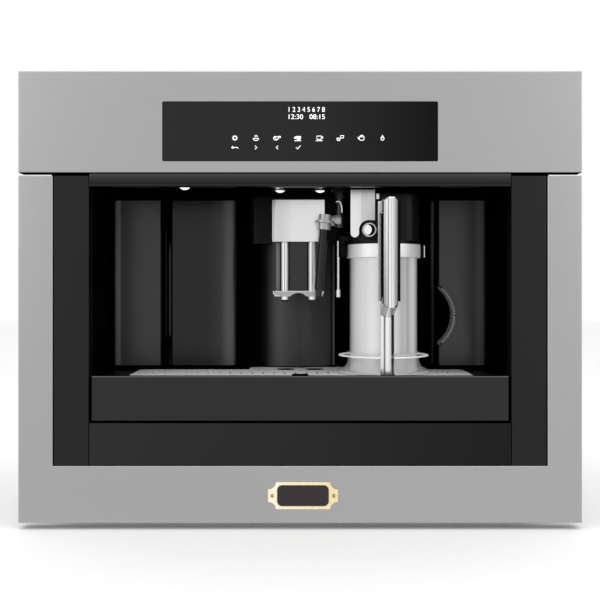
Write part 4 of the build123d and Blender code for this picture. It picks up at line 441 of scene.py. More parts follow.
def second_finish(name, finish, chosen):
    """Another finish on the faces of a node whose middle is chosen, in millimetres."""
    mesh = nodes[name].data
    mesh.materials.append(finish)
    slot = len(mesh.materials) - 1
    for face in mesh.polygons:
        if chosen(*(value / MM for value in face.center)):
            face.material_index = slot


def on_rim(x, y, z):
    """The ring under the spout, outside its two tubes."""
    across = abs(x - SPOUT_X) - TUBE_OFFSET
    return RIM_LOW < z < RIM_HIGH and math.hypot(across, y - SPOUT_Y) > TUBE_OUTSIDE


def on_lamp_glow(x, y, z):
    """The low middle of each lamp's dome."""
    places = (math.hypot(x - lamp_x, y - lamp_y) for lamp_x, lamp_y in LAMP_PLACES)
    return z < LAMP_DOME and min(places) < LAMP_GLOW_RADIUS


def in_scoop(x, z, margin=0):
    """Whether a place is inside the round grip scoop of the tank, seen from the front."""
    return math.hypot(x - SCOOP_CENTRE[0], z - SCOOP_CENTRE[1]) < SCOOP_RADIUS + margin


second_finish("spout_tubes", rim_steel, on_rim)
# painted shade: the door's hinge side in black, darkening the groove between the container and the door
second_finish("service_door", matt_black, lambda x, y, z: x < DOOR_HINGE_END)
# painted shade: the trims' inner faces beside the niche in black
second_finish("side_trims", deep_black, lambda x, y, z: abs(abs(x) - TRIM_INNER_FACE) < TRIM_REACH)
# the column under the spout takes the finish with painted highlight and shade
second_finish("spout_housing", column_black, lambda x, y, z: z < COLUMN_TOP and y > COLUMN_FACE)
second_finish("milk_spout", chrome, lambda x, y, z: x < NOZZLE_END or z < NOZZLE_TOP)
second_finish("milk_spout", deep_black, lambda x, y, z: x > NOZZLE_END and z > NOZZLE_TOP)
# the disc of the carafe's foot takes the painted glow
second_finish("carafe_foot", disc_painted_glow, lambda x, y, z: DISC_LOW < z < DISC_HIGH)
second_finish("carafe_foot", sole_clear, lambda x, y, z: z < SOLE_TOP)
# the band's upper plate takes the steel with painted light and shade
second_finish("lid_trim", plate_steel, lambda x, y, z: z > BAND_TOP)
second_finish("wand_pipe", gloss_black, lambda x, y, z: x > PIPE_BEND or z < SLEEVE_TOP)
second_finish("wand_pipe", wand_light, lambda x, y, z: x <= PIPE_BEND and z > SLEEVE_TOP)
# painted shade: the frame's underside, the tops of its stiles in the gap under the fascia, and the fascia's
# underside in black
second_finish("front_frame", matt_black, lambda x, y, z: z < FRAME_UNDERSIDE or z > FRAME_GAP)
second_finish("control_fascia", matt_black, lambda x, y, z: z < FASCIA_GAP)
second_finish("niche_lamps", silver, lambda x, y, z: z > LAMP_RING)
second_finish("niche_lamps", lens_glow, on_lamp_glow)
# painted shade: the inside of the tank's grip scoop in black; painted highlight: its bevelled rim in light
# grey
second_finish("water_tank", matt_black, lambda x, y, z: y > SCOOP_BACK and in_scoop(x, z))
second_finish(
    "water_tank", scoop_painted_highlight, lambda x, y, z: SCOOP_FRONT < y <= SCOOP_BACK and in_scoop(x, z, SCOOP_MARGIN)
)


# -------------------------------- building pieces

WELD = 1e-4
CORNER_STEPS = 8
EDGE_ANGLE = 30
TURNED_ANGLE = 40
EDGE_SEGMENTS, BLOCK_SEGMENTS, WIDE_SEGMENTS = 2, 3, 8


def add_piece(name, mesh, body, finish=None):
    """Puts a mesh in the scene, on its body and with its finish."""
    piece = bpy.data.objects.new(name, mesh)
    bpy.context.scene.collection.objects.link(piece)
    if finish is not None:
        mesh.materials.clear()
        mesh.materials.append(finish)
    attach(piece, body)
    return piece


def smooth(mesh, angle):
    """Smooth shading with edges sharper than the angle kept crisp."""
    for face in mesh.polygons:
        face.use_smooth = True
    mesh.set_sharp_from_angle(angle=math.radians(angle))


def bevelled(mesh, width, segments=EDGE_SEGMENTS, angle=EDGE_ANGLE, wide=0.0):
    """A copy of a mesh with its sharp edges rounded, and its weighted edges rounded wider."""
    holder = bpy.data.objects.new("holder", mesh)
    bpy.context.scene.collection.objects.link(holder)
    if wide:
        bevel = holder.modifiers.new("wide_edges", "BEVEL")
        bevel.width = wide
        bevel.segments = WIDE_SEGMENTS
        bevel.limit_method = "WEIGHT"
        bevel.harden_normals = True
    bevel = holder.modifiers.new("edges", "BEVEL")
    bevel.width = width
    bevel.segments = segments
    bevel.limit_method = "ANGLE"
    bevel.angle_limit = math.radians(angle)
    bevel.harden_normals = True
    bevel.use_clamp_overlap = True
    smooth(mesh, angle)
    graph = bpy.context.evaluated_depsgraph_get()
    rounded = bpy.data.meshes.new_from_object(holder.evaluated_get(graph))
    bpy.data.objects.remove(holder)
    return rounded


def mesh_from(geometry, name):
    """Turns a bmesh in millimetres into a mesh in metres."""
    bmesh.ops.remove_doubles(geometry, verts=geometry.verts, dist=WELD)
    bmesh.ops.recalc_face_normals(geometry, faces=geometry.faces)
    bmesh.ops.scale(geometry, vec=(MM, MM, MM), verts=geometry.verts)
    mesh = bpy.data.meshes.new(name)
    geometry.to_mesh(mesh)
    geometry.free()
    return mesh


def join_loops(geometry, loops, caps=True):
    """Faces between closed rings of points, with the first and last ring capped."""
    rings = [[geometry.verts.new(point) for point in loop] for loop in loops]
    for lower, upper in zip(rings, rings[1:]):
        count = len(lower)
        for index in range(count):
            following = (index + 1) % count
            geometry.faces.new((lower[index], lower[following], upper[following], upper[index]))
    if caps:
        geometry.faces.new(rings[0][::-1])
        geometry.faces.new(rings[-1])


def circle_rings(profile, axis_point, direction, steps):
    """Rings of points round a line: one for each (radius, distance along the line) pair."""
    forward = Vector(direction).normalized()
    side = forward.orthogonal().normalized()
    other = forward.cross(side)
    turns = [2 * math.pi * step / steps for step in range(steps)]
    spokes = [side * math.cos(turn) + other * math.sin(turn) for turn in turns]
    return [
        [Vector(axis_point) + forward * distance + spoke * radius for spoke in spokes]
        for radius, distance in profile
    ]


def turned(name, profile, axis_point, direction, steps=48, angle=TURNED_ANGLE, hollow=False):
    """A turned piece: (radius, distance) pairs revolved round a line, closed into a ring if hollow."""
    geometry = bmesh.new()
    rings = circle_rings(profile, axis_point, direction, steps)
    join_loops(geometry, rings + rings[:1] if hollow else rings, caps=not hollow)
    mesh = mesh_from(geometry, name)
    smooth(mesh, angle)
    return mesh


def plate(geometry, outline, y_front, y_back):
    """A plate seen from the front: an outline in X and Z, from y_front back to y_back."""
    join_loops(geometry, [[(x, y, z) for x, z in outline] for y in (y_front, y_back)])


def brick(geometry, low, high):
    """A block between two corners."""
    outline = [(low[0], low[2]), (high[0], low[2]), (high[0], high[2]), (low[0], high[2])]
    plate(geometry, outline, low[1], high[1])


def ribbon(geometry, points, width, y_front, y_back, closed=False):
    """A flat line of one width through points in X and Z, as a thin solid strip."""
    loops = []
    for index, (x, z) in enumerate(points):
        before = points[index - 1] if closed or index else points[0]
        after = points[(index + 1) % len(points)] if closed or index + 1 < len(points) else points[-1]
        run = Vector((after[0] - before[0], after[1] - before[1])).normalized()
        side_x, side_z = -run.y * width / 2, run.x * width / 2
        left, right = (x + side_x, z + side_z), (x - side_x, z - side_z)
        section = ((left, y_front), (right, y_front), (right, y_back), (left, y_back))
        loops.append([(corner[0], y, corner[1]) for corner, y in section])
    join_loops(geometry, loops + loops[:1] if closed else loops, caps=not closed)


def oval(centre, radius_x, radius_z, start=0.0, end=360.0, steps=24):
    """Points on an oval in X and Z, in degrees."""
    turns = [math.radians(start + (end - start) * step / steps) for step in range(steps + 1)]
    points = [
        (centre[0] + radius_x * math.cos(turn), centre[1] + radius_z * math.sin(turn)) for turn in turns
    ]
    return points[:-1] if end - start == 360 else points


def rounded_rectangle(centre, width, height, radius):
    """The outline of a rectangle with round corners, in X and Z."""
    points = []
    for corner, (sign_x, sign_z) in enumerate(((1, 1), (-1, 1), (-1, -1), (1, -1))):
        middle = (centre[0] + sign_x * (width / 2 - radius), centre[1] + sign_z * (height / 2 - radius))
        points += oval(middle, radius, radius, 90 * corner, 90 * corner + 90, CORNER_STEPS)
    return points


def block_piece(name, blocks, edge, body, finish):
    """One piece of blocks, given by their corners, with rounded edges."""
    geometry = bmesh.new()
    for low, high in blocks:
        brick(geometry, low, high)
    mesh = bevelled(mesh_from(geometry, name), edge * MM, BLOCK_SEGMENTS)
    add_piece(name, mesh, body, finish)


# -------------------------------- rounded edges on the CAD parts

CONTAINER_FACE = 100.0
CONTAINER_LOW, CONTAINER_HIGH = 156.0, 351.0
OUTER_ROUND = 1.4
NODE_WELD = 1e-6
REACH = 0.1
FLAT_ANGLE = 0.3

EDGE_WIDTHS = {
    "front_frame": 0.2,
    "control_fascia": 0.2,
    "side_trims": 0.3,
    "visor": 0.5,
    "lower_fascia": 0.3,
    "tray_front": 0.5,
    "spout_cover": 0.4,
    "lid_trim": 0.25,
    "cup_grid": 0.25,
    "carafe_lid": 0.5,
    "name_plate": 0.3,
    "side_panels": 0.3,
    "top_cover": 0.3,
}
# the large blocks in the niche: edge width, and the X of the upright edge that is rounded wider
BLOCK_EDGES = {
    "grounds_container": (0.3, -222.0),
    "service_door": (0.3, -73.9),
    "water_tank": (0.4, 222.0),
}


def is_outer(outer_edge, first, second):
    """Whether an edge is the upright front edge at that X, or one of the two short ones at its ends."""
    if any(abs(end.co.x / MM - outer_edge) > REACH for end in (first, second)):
        return False
    if max(first.co.y, second.co.y) < (CONTAINER_FACE + REACH) * MM:
        return True
    low, high = sorted((first.co.z / MM, second.co.z / MM))
    return high < CONTAINER_LOW + REACH or low > CONTAINER_HIGH - REACH


def rounded_node(name, width, outer_edge=None):
    """The CAD node's own faces with small rounded edges, in the node's place."""
    geometry = bmesh.new()
    geometry.from_mesh(nodes[name].data)
    bmesh.ops.remove_doubles(geometry, verts=geometry.verts, dist=NODE_WELD)
    bmesh.ops.dissolve_limit(
        geometry,
        angle_limit=math.radians(FLAT_ANGLE),
        verts=geometry.verts,
        edges=geometry.edges,
        delimit={"MATERIAL"},
    )
    if outer_edge is not None:
        weights = geometry.edges.layers.float.new("bevel_weight_edge")
        for edge in geometry.edges:
            if is_outer(outer_edge, *edge.verts):
                edge[weights] = 1.0
    mesh = bpy.data.meshes.new(name + "_edges")
    geometry.to_mesh(mesh)
    geometry.free()
    for finish in nodes[name].data.materials:
        mesh.materials.append(finish)
    rounded = bevelled(mesh, width * MM, wide=0.0 if outer_edge is None else OUTER_ROUND * MM)
    piece = add_piece(name + "_edges", rounded, nodes[name]["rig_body"])
    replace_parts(piece, name)


for name, width in EDGE_WIDTHS.items():
    rounded_node(name, width)
for name, (width, outer_edge) in BLOCK_EDGES.items():
    rounded_node(name, width, outer_edge)


# -------------------------------- lit marks on the display

DISPLAY_FACE = -20.0
MARK_FRONT = DISPLAY_FACE - 0.06
ICON_LEFT = -68.7
ICON_PITCH = 22.2
ICON_Z = 405.4
ARROW_Z = 395.4
LINE = 0.62
GEAR_TEETH = 8
GEAR_INSIDE, GEAR_OUTSIDE = 1.9, 3.0
CUP = [(-2.6, 1.6), (-2.3, -1.2), (-1.4, -2.0), (1.4, -2.0), (2.3, -1.2), (2.6, 1.6)]
SMALL_CUP = [(-1.8, 1.2), (-1.5, -0.8), (-0.9, -1.4), (0.9, -1.4), (1.5, -0.8), (1.8, 1.2)]


def moved(points, x, z):
    """Points in X and Z, moved."""
    return [(point_x + x, point_z + z) for point_x, point_z in points]


def gear_teeth():
    """Short lines outwards, one for each tooth."""
    turns = [2 * math.pi * tooth / GEAR_TEETH for tooth in range(GEAR_TEETH)]
    radii = (GEAR_INSIDE, GEAR_OUTSIDE)
    return [[(radius * math.cos(turn), radius * math.sin(turn)) for radius in radii] for turn in turns]


def steam(x):
    """A waving line of steam over a cup."""
    return [(x, 0.9), (x + 0.5, 1.6), (x - 0.3, 2.4), (x + 0.2, 3.1)]


# each icon: open lines, closed lines, filled shapes
ICONS = [
    (gear_teeth(), [oval((0, 0), 1.7, 1.7)], []),
    ([oval((0, -0.4), 2.8, 2.3, 180, 360), [(-2.8, -0.4), (2.8, -0.4)], steam(-0.9), steam(0.9)], [], []),
    (
        [[(-2.8, 1.0), (-1.4, 0.2), (-1.0, -1.4)]],
        [oval((-1.2, -0.3), 2.5, 1.9)],
        [oval((2.6, 1.0), 1.4, 1.1)],
    ),
    ([[(-3.8, -2.9), (3.2, -2.9)]], [oval((-2.9, 0.2), 1.0, 0.9)], [moved(CUP, 0.4, 0.3)]),
    ([[(-3.6, -2.9), (3.6, -2.9)]], [moved(CUP, 0, 0.4), oval((3.1, 0.5), 0.8, 0.8)], []),
    ([], [moved(SMALL_CUP, -1.9, -1.3), moved(SMALL_CUP, 1.9, 1.3)], [oval((-1.9, -1.0), 0.7, 0.5)]),
    (
        [oval((0.4, 1.2), 1.9, 1.6, 0, 180), [(-3.6, 1.2), (-3.4, -0.6), (-2.0, -1.4)]],
        [moved(CUP, 0.4, -0.4)],
        [],
    ),
    ([[(-1.3, 0.1), (0, 3.0), (1.3, 0.1)]], [oval((0, -0.8), 1.6, 1.6)], []),
]
# each arrow or check mark: open lines
ARROWS = [
    [[(-3.4, 0), (3.0, 0), (3.4, -1.3)], [(-1.8, 1.4), (-3.4, 0), (-1.8, -1.4)]],
    [[(-1.1, 1.8), (1.1, 0), (-1.1, -1.8)]],
    [[(1.1, 1.8), (-1.1, 0), (1.1, -1.8)]],
    [[(-2.2, 0.1), (-0.7, -1.6), (2.6, 2.0)]],
]


def display_marks():
    """The row of icons and the row of arrows, slightly raised."""
    geometry = bmesh.new()
    for index, (lines, loops, fills) in enumerate(ICONS):
        x = ICON_LEFT + index * ICON_PITCH
        for line in lines:
            ribbon(geometry, moved(line, x, ICON_Z), LINE, MARK_FRONT, DISPLAY_FACE)
        for loop in loops:
            ribbon(geometry, moved(loop, x, ICON_Z), LINE, MARK_FRONT, DISPLAY_FACE, closed=True)
        for fill in fills:
            plate(geometry, moved(fill, x, ICON_Z), MARK_FRONT, DISPLAY_FACE)
    for index, lines in enumerate(ARROWS):
        x = ICON_LEFT + index * ICON_PITCH
        for line in lines:
            ribbon(geometry, moved(line, x, ARROW_Z), LINE, MARK_FRONT, DISPLAY_FACE)
    return mesh_from(geometry, "display_marks")


NUMBER_FRONT = DISPLAY_FACE - 0.03
NUMBER_X = 7.0
NUMBER_WIDTH, NUMBER_HEIGHT = 38.0, 5.0
NUMBER_ROWS = (("1 2 3 4 5 6 7 8", 435.4), ("12:30   08:15", 427.8))
FIGURE_THICKNESS = 0.01
FIGURE_RELIEF = 3


def lettering(name, text, centre_z):
    """A row of plain figures as a flat mesh, fitted to the width and height of a row."""
    curve = bpy.data.curves.new(name, "FONT")
    curve.body = text
    curve.extrude = FIGURE_THICKNESS
    holder = bpy.data.objects.new(name, curve)
    bpy.context.scene.collection.objects.link(holder)
    graph = bpy.context.evaluated_depsgraph_get()
    mesh = bpy.data.meshes.new_from_object(holder.evaluated_get(graph))
    bpy.data.objects.remove(holder)
    corners = [vertex.co.copy() for vertex in mesh.vertices]
    low_x, high_x = min(c.x for c in corners), max(c.x for c in corners)
    low_y, high_y = min(c.y for c in corners), max(c.y for c in corners)
    for vertex in mesh.vertices:
        across = (vertex.co.x - (low_x + high_x) / 2) * NUMBER_WIDTH / (high_x - low_x)
        up = (vertex.co.y - (low_y + high_y) / 2) * NUMBER_HEIGHT / (high_y - low_y)
        depth = -vertex.co.z * FIGURE_RELIEF
        vertex.co = Vector((NUMBER_X + across, NUMBER_FRONT + depth, centre_z + up)) * MM
    return mesh


add_piece("display_marks", display_marks(), "machine", mark_white)
for row, (text, z) in enumerate(NUMBER_ROWS, start=1):
    name = f"display_numbers_{row}"
    add_piece(name, lettering(name, text, z), "machine", mark_white)


# -------------------------------- name plate

PLATE_CENTRE = (3.0, 29.2)
PLATE_FACE = -22.0
FIELD_FLOOR = PLATE_FACE + 0.67
FIELD_FRONT = FIELD_FLOOR - 0.12
FIELD_WIDTH, FIELD_HEIGHT, FIELD_CORNER = 54.0, 21.8, 5.2
LINE_OFFSET, LINE_WIDTH = -0.1, 0.4
LINE_FRONT, LINE_BACK = FIELD_FLOOR - 0.25, FIELD_FLOOR - 0.1
BEAD_OFFSET, BEAD_WIDTH = 0.8, 0.7
BEAD_FRONT, BEAD_BACK = PLATE_FACE - 0.18, PLATE_FACE + 0.05
PLATE_SCREW_OFFSET = 32.3
PLATE_SCREW_RADIUS = 1.9
PLATE_SLOT_ANGLE = 12
HEAD_FRONT, HEAD_BACK = PLATE_FACE - 0.55, PLATE_FACE + 0.05
FIELD_EDGE, BEAD_EDGE, HEAD_EDGE = 0.05, 0.15, 0.12


def field_outline(offset=0.0):
    """The outline of the plate's field, or one that far outside it."""
    return rounded_rectangle(
        PLATE_CENTRE, FIELD_WIDTH + 2 * offset, FIELD_HEIGHT + 2 * offset, FIELD_CORNER + offset
    )


def plate_field():
    """The bare field."""
    geometry = bmesh.new()
    plate(geometry, field_outline(), FIELD_FRONT, FIELD_FLOOR)
    return bevelled(mesh_from(geometry, "plate_field"), FIELD_EDGE * MM)


def plate_line():
    """The fine line along the edge of the field."""
    geometry = bmesh.new()
    ribbon(geometry, field_outline(LINE_OFFSET), LINE_WIDTH, LINE_FRONT, LINE_BACK, closed=True)
    return mesh_from(geometry, "plate_line")


def plate_bead():
    """The raised line round the field."""
    geometry = bmesh.new()
    ribbon(geometry, field_outline(BEAD_OFFSET), BEAD_WIDTH, BEAD_FRONT, BEAD_BACK, closed=True)
    return bevelled(mesh_from(geometry, "plate_bead"), BEAD_EDGE * MM)


def plate_screws():
    """Two slotted screws: a half head above and below each slot."""
    geometry = bmesh.new()
    for side in (-1, 1):
        middle = (PLATE_CENTRE[0] + side * PLATE_SCREW_OFFSET, PLATE_CENTRE[1])
        for half in (0, 180):
            start, end = half + PLATE_SLOT_ANGLE, half + 180 - PLATE_SLOT_ANGLE
            arc = oval(middle, PLATE_SCREW_RADIUS, PLATE_SCREW_RADIUS, start, end, 12)
            plate(geometry, arc, HEAD_FRONT, HEAD_BACK)
    return bevelled(mesh_from(geometry, "plate_screws"), HEAD_EDGE * MM)


add_piece("plate_field", plate_field(), "machine", plate_black)
add_piece("plate_line", plate_line(), "machine", brass_edge)
add_piece("plate_bead", plate_bead(), "machine", brass)
add_piece("plate_screws", plate_screws(), "machine", brass_edge)


# -------------------------------- spout tips

TIP_TOP = 234.7
TIP_PROFILE = [(3.4, 0.0), (3.4, 1.2), (2.9, 2.6), (2.2, 2.9), (2.0, 2.0), (1.8, 0.4)]
for side, name in ((-1, "spout_tip_left"), (1, "spout_tip_right")):
    tip = turned(name, TIP_PROFILE, (SPOUT_X + side * TUBE_OFFSET, SPOUT_Y, TIP_TOP), (0, 0, -1))
    add_piece(name, tip, "spout", gloss_black)


# -------------------------------- carafe: handle, catch, clip, skirt and strainer

HANDLE_LEFT, HANDLE_RIGHT = 86.5, 101.5
FACET_LEFT, FACET_RIGHT = 91.6, 97.8
GRIP_FRONT, GRIP_BACK, STRIP_BACK = -38.0, -24.0, 8.0
GRIP_GROOVE, STRIP_GROOVE = 0.35, 0.9
GROOVE_SETBACK, GROOVE_STEEPNESS = 0.5, 3
HANDLE_EDGE, HANDLE_EDGE_ANGLE = 0.3, 12

# rings from the top to the foot: the (y, z) of the middle facet, the left side, the right side, the back
GRIP_RINGS = [
    ((GRIP_FRONT + 1.2, 341.9), (-34.0, 339.3), (-34.6, 339.3), (GRIP_BACK, 341.4)),
    ((GRIP_FRONT, 340.6), (-35.2, 338.0), (-35.8, 338.0), (GRIP_BACK, 338.0)),
    ((GRIP_FRONT, 228.4), (-35.2, 231.0), (-35.8, 231.0), (GRIP_BACK, 240.0)),
    ((-36.6, 226.7), (-34.0, 228.8), (-34.6, 229.4), (-22.4, 239.2)),
    ((1.0, 215.7), (1.0, 218.4), (1.0, 220.4), (1.0, 228.7)),
]
STRIP_RINGS = [
    ((0.0, 341.6), (2.2, 341.6), (4.0, 341.6), (STRIP_BACK, 341.6)),
    ((0.0, 158.2), (2.2, 160.0), (4.0, 160.0), (STRIP_BACK, 160.0)),
    ((0.2, 152.3), (2.4, 156.8), (4.2, 156.8), (STRIP_BACK, 156.8)),
]
GRIP_BRIDGE = ((HANDLE_LEFT, -25.5, 329.0), (HANDLE_RIGHT, 2.0, 340.5))
LID_BLOCK = ((HANDLE_LEFT + 2, 6.0, 313.2), (HANDLE_RIGHT - 2, 13.0, 338.0))
LIGHT_STRIP = ((84.0, 1.5, 233.0), (HANDLE_LEFT + 1.4, STRIP_BACK, 341.0))


def handle_ring(front, left, right, back, groove):
    """Points round the handle at one level, with a narrow groove beside the middle facet."""
    return [
        (HANDLE_LEFT, *back),
        (HANDLE_LEFT, *left),
        (FACET_LEFT - 2 * groove, front[0] + GROOVE_SETBACK, front[1]),
        (FACET_LEFT - groove, front[0] + GROOVE_SETBACK + GROOVE_STEEPNESS * groove, front[1]),
        (FACET_LEFT, *front),
        (FACET_RIGHT, *front),
        (HANDLE_RIGHT, *right),
        (HANDLE_RIGHT, *back),
    ]


def handle_mesh(name, rings, groove, blocks):
    """A length of the handle through its rings, with the blocks that belong to it."""
    geometry = bmesh.new()
    join_loops(geometry, [handle_ring(*ring, groove) for ring in rings])
    for low, high in blocks:
        brick(geometry, low, high)
    return bevelled(mesh_from(geometry, name), HANDLE_EDGE * MM, angle=HANDLE_EDGE_ANGLE)


grip = handle_mesh("handle_grip", GRIP_RINGS, GRIP_GROOVE, [GRIP_BRIDGE])
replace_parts(add_piece("handle_grip", grip, "carafe", bright_metal), "carafe_handle")
strip = handle_mesh("handle_strip", STRIP_RINGS, STRIP_GROOVE, [LID_BLOCK, LIGHT_STRIP])
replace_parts(add_piece("handle_strip", strip, "carafe", strip_metal), "carafe_handle")

# name: the blocks by their corners, edge width, slot and finish
CARAFE_BLOCKS = {
    "band_catch": ([((134.6, 42, 281.4), (138.9, 60, 295.6))], 0.6, "spout_black", deep_black),
    "band_catch_plate": ([((138.7, 42.6, 281.8), (140.0, 59.4, 295.2))], 0.4, "chrome", silver),
    # black blocks at the grip's left side and in front of the strip: a painted shadow line beside the grip
    "handle_inlay": (
        [((86.2, -34.9, 231.0), (86.8, -24.6, 337.5)), ((87.0, -0.6, 229.0), (90.6, 0.4, 328.0))],
        0.2,
        "spout_black",
        matt_black,
    ),
    "handle_back": ([((98.0, 8.0, 233.0), (108.8, 9.4, 341.0))], 0.4, "spout_black", deep_black),
    "lid_clip": ([((82.6, 9.0, 343.6), (86.0, 13.0, 350.4))], 0.6, "chrome", silver),
    "lid_clip_foot": ([((82.8, 7.5, 337.5), (86.4, 13.0, 343.4))], 0.4, "spout_black", deep_black),
}
for name, (blocks, edge, slot, finish) in CARAFE_BLOCKS.items():
    block_piece(name, blocks, edge, "carafe", finish)

# the lid's black edge over the top of the steel band, round the vessel's middle
VESSEL_MIDDLE = (94.0, 50.0, 0.0)
SKIRT_PROFILE = [(40.8, 295.9), (42.0, 295.9), (42.0, 299.6), (41.2, 300.4), (40.8, 300.4)]
skirt = turned("lid_skirt", SKIRT_PROFILE, VESSEL_MIDDLE, (0, 0, 1), 96, hollow=True)
add_piece("lid_skirt", skirt, "carafe", lid_black)

# the strainer at the lower end of the milk straw
STRAW_FOOT = (113.0, 64.0, 157.5)
STRAW_PROFILE = [(3.2, 0.0), (3.4, 0.6), (3.4, 22.0), (3.0, 23.0), (2.2, 23.4)]
strainer = turned("straw_foot", STRAW_PROFILE, STRAW_FOOT, (0, 0, 1), 32)
add_piece("straw_foot", strainer, "carafe", inner_grey)


# -------------------------------- froth knob face

KNOB_X, KNOB_Z, KNOB_FACE = 75.0, 310.6, 6.0
KNOB_PROFILE = [(7.6, 6.4), (7.6, 0.6), (7.1, 0.0), (6.6, 0.0), (6.3, 0.5), (6.3, 1.6), (0.02, 1.6)]
LENS_RADIUS, LENS_SHIFT, LENS_EDGE = 6.0, 3.4, 0.25
LENS_FRONT, LENS_BACK = KNOB_FACE + 0.1, KNOB_FACE + 1.7
FLOOR_RADIUS = 6.2
FLOOR_FRONT, FLOOR_BACK = KNOB_FACE + 1.45, KNOB_FACE + 1.8


def knob_lens():
    """The raised part: two arcs that leave a crescent free at the right."""
    geometry = bmesh.new()
    half = math.degrees(math.acos(LENS_SHIFT / 2 / LENS_RADIUS))
    right = oval((KNOB_X - LENS_SHIFT, KNOB_Z), LENS_RADIUS, LENS_RADIUS, -half, half, 16)
    left = oval((KNOB_X, KNOB_Z), LENS_RADIUS, LENS_RADIUS, 180 - half, 180 + half, 16)
    plate(geometry, right + left[1:-1], LENS_FRONT, LENS_BACK)
    return bevelled(mesh_from(geometry, "knob_lens"), LENS_EDGE * MM)


def knob_floor():
    """The dark bottom of the recess."""
    geometry = bmesh.new()
    outline = oval((KNOB_X, KNOB_Z), FLOOR_RADIUS, FLOOR_RADIUS, steps=48)
    plate(geometry, outline, FLOOR_FRONT, FLOOR_BACK)
    return mesh_from(geometry, "knob_floor")


knob_rim = turned("knob_rim", KNOB_PROFILE, (KNOB_X, KNOB_FACE, KNOB_Z), (0, 1, 0))
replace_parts(add_piece("knob_rim", knob_rim, "froth_knob", tube_chrome), "froth_knob")
add_piece("knob_lens", knob_lens(), "froth_knob", chrome)
add_piece("knob_floor", knob_floor(), "froth_knob", deep_black)


# -------------------------------- spout and wand details

BODY_FACE = 45.5
TUBE_FRONT = 37.0
BODY_LOW, BODY_HIGH = 244.5, 298.6
PANEL_RELIEF, SHADOW_RELIEF, STRIP_EDGE = 0.8, 0.3, 0.1
TUBE_LINE_FRONT, TUBE_LINE_BACK = TUBE_FRONT - 0.05, TUBE_FRONT + 0.4
SIDE_PANEL = [(-27.0, -22.9)]
SHADOW_LINES = [(-22.7, -21.2), (-13.0, -11.9), (7.9, 9.4)]
TUBE_LINES = [(-17.65, -17.05), (12.95, 13.55)]
RIM_BEAD = ((-29.0, 36.8, 243.2), (25.0, 37.6, 244.3))
HOOK = [(28.0, 243.9), (27.6, 241.6), (26.2, 239.8), (23.8, 238.9), (20.8, 238.6)]
HOOK_WIDTH, HOOK_FRONT, HOOK_BACK, HOOK_EDGE = 1.3, 36.1, 37.3, 0.3
ELBOW_START, ELBOW_LINE = (31.0, 25.0, 321.4), (1, 0.14, 0.08)
ELBOW_PROFILE = [(4.6, -2.5), (4.8, 1.0), (5.4, 6.0), (6.2, 11.5), (6.3, 12.6), (5.4, 13.8), (0.02, 14.0)]
BEND = [(39.4, 341.6), (41.4, 342.8), (43.4, 342.0), (44.9, 339.6), (45.7, 335.6), (46.0, 330.0)]
BEND_WIDTH, BEND_FRONT, BEND_BACK, BEND_EDGE = 1.5, 19.6, 21.4, 0.4


def spout_strips(name, places, y_front, y_back, finish):
    """Narrow upright strips over the height of the spout's body, between pairs of X places."""
    blocks = [((left, y_front, BODY_LOW), (right, y_back, BODY_HIGH)) for left, right in places]
    block_piece(name, blocks, STRIP_EDGE, "spout", finish)


def rim_hooks():
    """The bright turned-up ends of the ring under the spout."""
    geometry = bmesh.new()
    for side in (-1, 1):
        ribbon(geometry, [(SPOUT_X + side * x, z) for x, z in HOOK], HOOK_WIDTH, HOOK_FRONT, HOOK_BACK)
    return bevelled(mesh_from(geometry, "rim_hooks"), HOOK_EDGE * MM)


def wand_bend_highlight():
    """A painted highlight: a bright strip on the outer edge of the pipe's bend above the elbow."""
    geometry = bmesh.new()
    ribbon(geometry, BEND, BEND_WIDTH, BEND_FRONT, BEND_BACK)
    return bevelled(mesh_from(geometry, "wand_bend_highlight"), BEND_EDGE * MM)


spout_strips("spout_side_panel", SIDE_PANEL, BODY_FACE - PANEL_RELIEF, BODY_FACE, panel_grey)
spout_strips("spout_shadow_lines", SHADOW_LINES, BODY_FACE - SHADOW_RELIEF, BODY_FACE, deep_black)
spout_strips("tube_lines", TUBE_LINES, TUBE_LINE_FRONT, TUBE_LINE_BACK, deep_black)
block_piece("rim_bead", [RIM_BEAD], 0.3, "spout", silver)
add_piece("rim_hooks", rim_hooks(), "spout", silver)
wand_elbow = turned("wand_elbow", ELBOW_PROFILE, ELBOW_START, ELBOW_LINE, 32, 50)
add_piece("wand_elbow", wand_elbow, "wand", elbow_grey)
# the bright strip on the pipe's bend is a painted highlight
add_piece("wand_bend_highlight", wand_bend_highlight(), "wand", silver)


# -------------------------------- tray and recess details

FLOAT_WINDOW = ((-8.9, 12.0, 151.75), (8.9, 37.0, 151.92))
# a grey strip at the top of the tray front: a painted highlight line along its edge
TRAY_EDGE_HIGHLIGHT = ((-219.5, -19.25, 153.5), (219.5, -18.4, 154.5))
# a black strip behind the tray front's top: painted shadow in the gap between the grid and the tray front
TRAY_SHADOW_STRIP = ((-219.0, -16.2, 153.6), (219.0, -15.0, 155.1))
block_piece("float_window", [FLOAT_WINDOW], 0.05, "drip_tray", matt_black)
block_piece("tray_edge_highlight", [TRAY_EDGE_HIGHLIGHT], 0.2, "drip_tray", inner_grey)
block_piece("tray_shadow_strip", [TRAY_SHADOW_STRIP], 0.3, "drip_tray", matt_black)

# a black ring in each drain hole of the grid
DRAIN_OFFSET, DRAIN_Y, GRID_TOP = 17.0, 94.0, 151.7
DRAIN_RING = [(10.6, 0.0), (10.6, 0.24), (8.4, 0.24), (8.4, -1.2), (10.0, -1.2), (10.0, 0.0)]
for side, name in ((-1, "drain_ring_left"), (1, "drain_ring_right")):
    ring = turned(name, DRAIN_RING, (side * DRAIN_OFFSET, DRAIN_Y, GRID_TOP), (0, 0, 1), hollow=True)
    add_piece(name, ring, "drip_tray", matt_black)

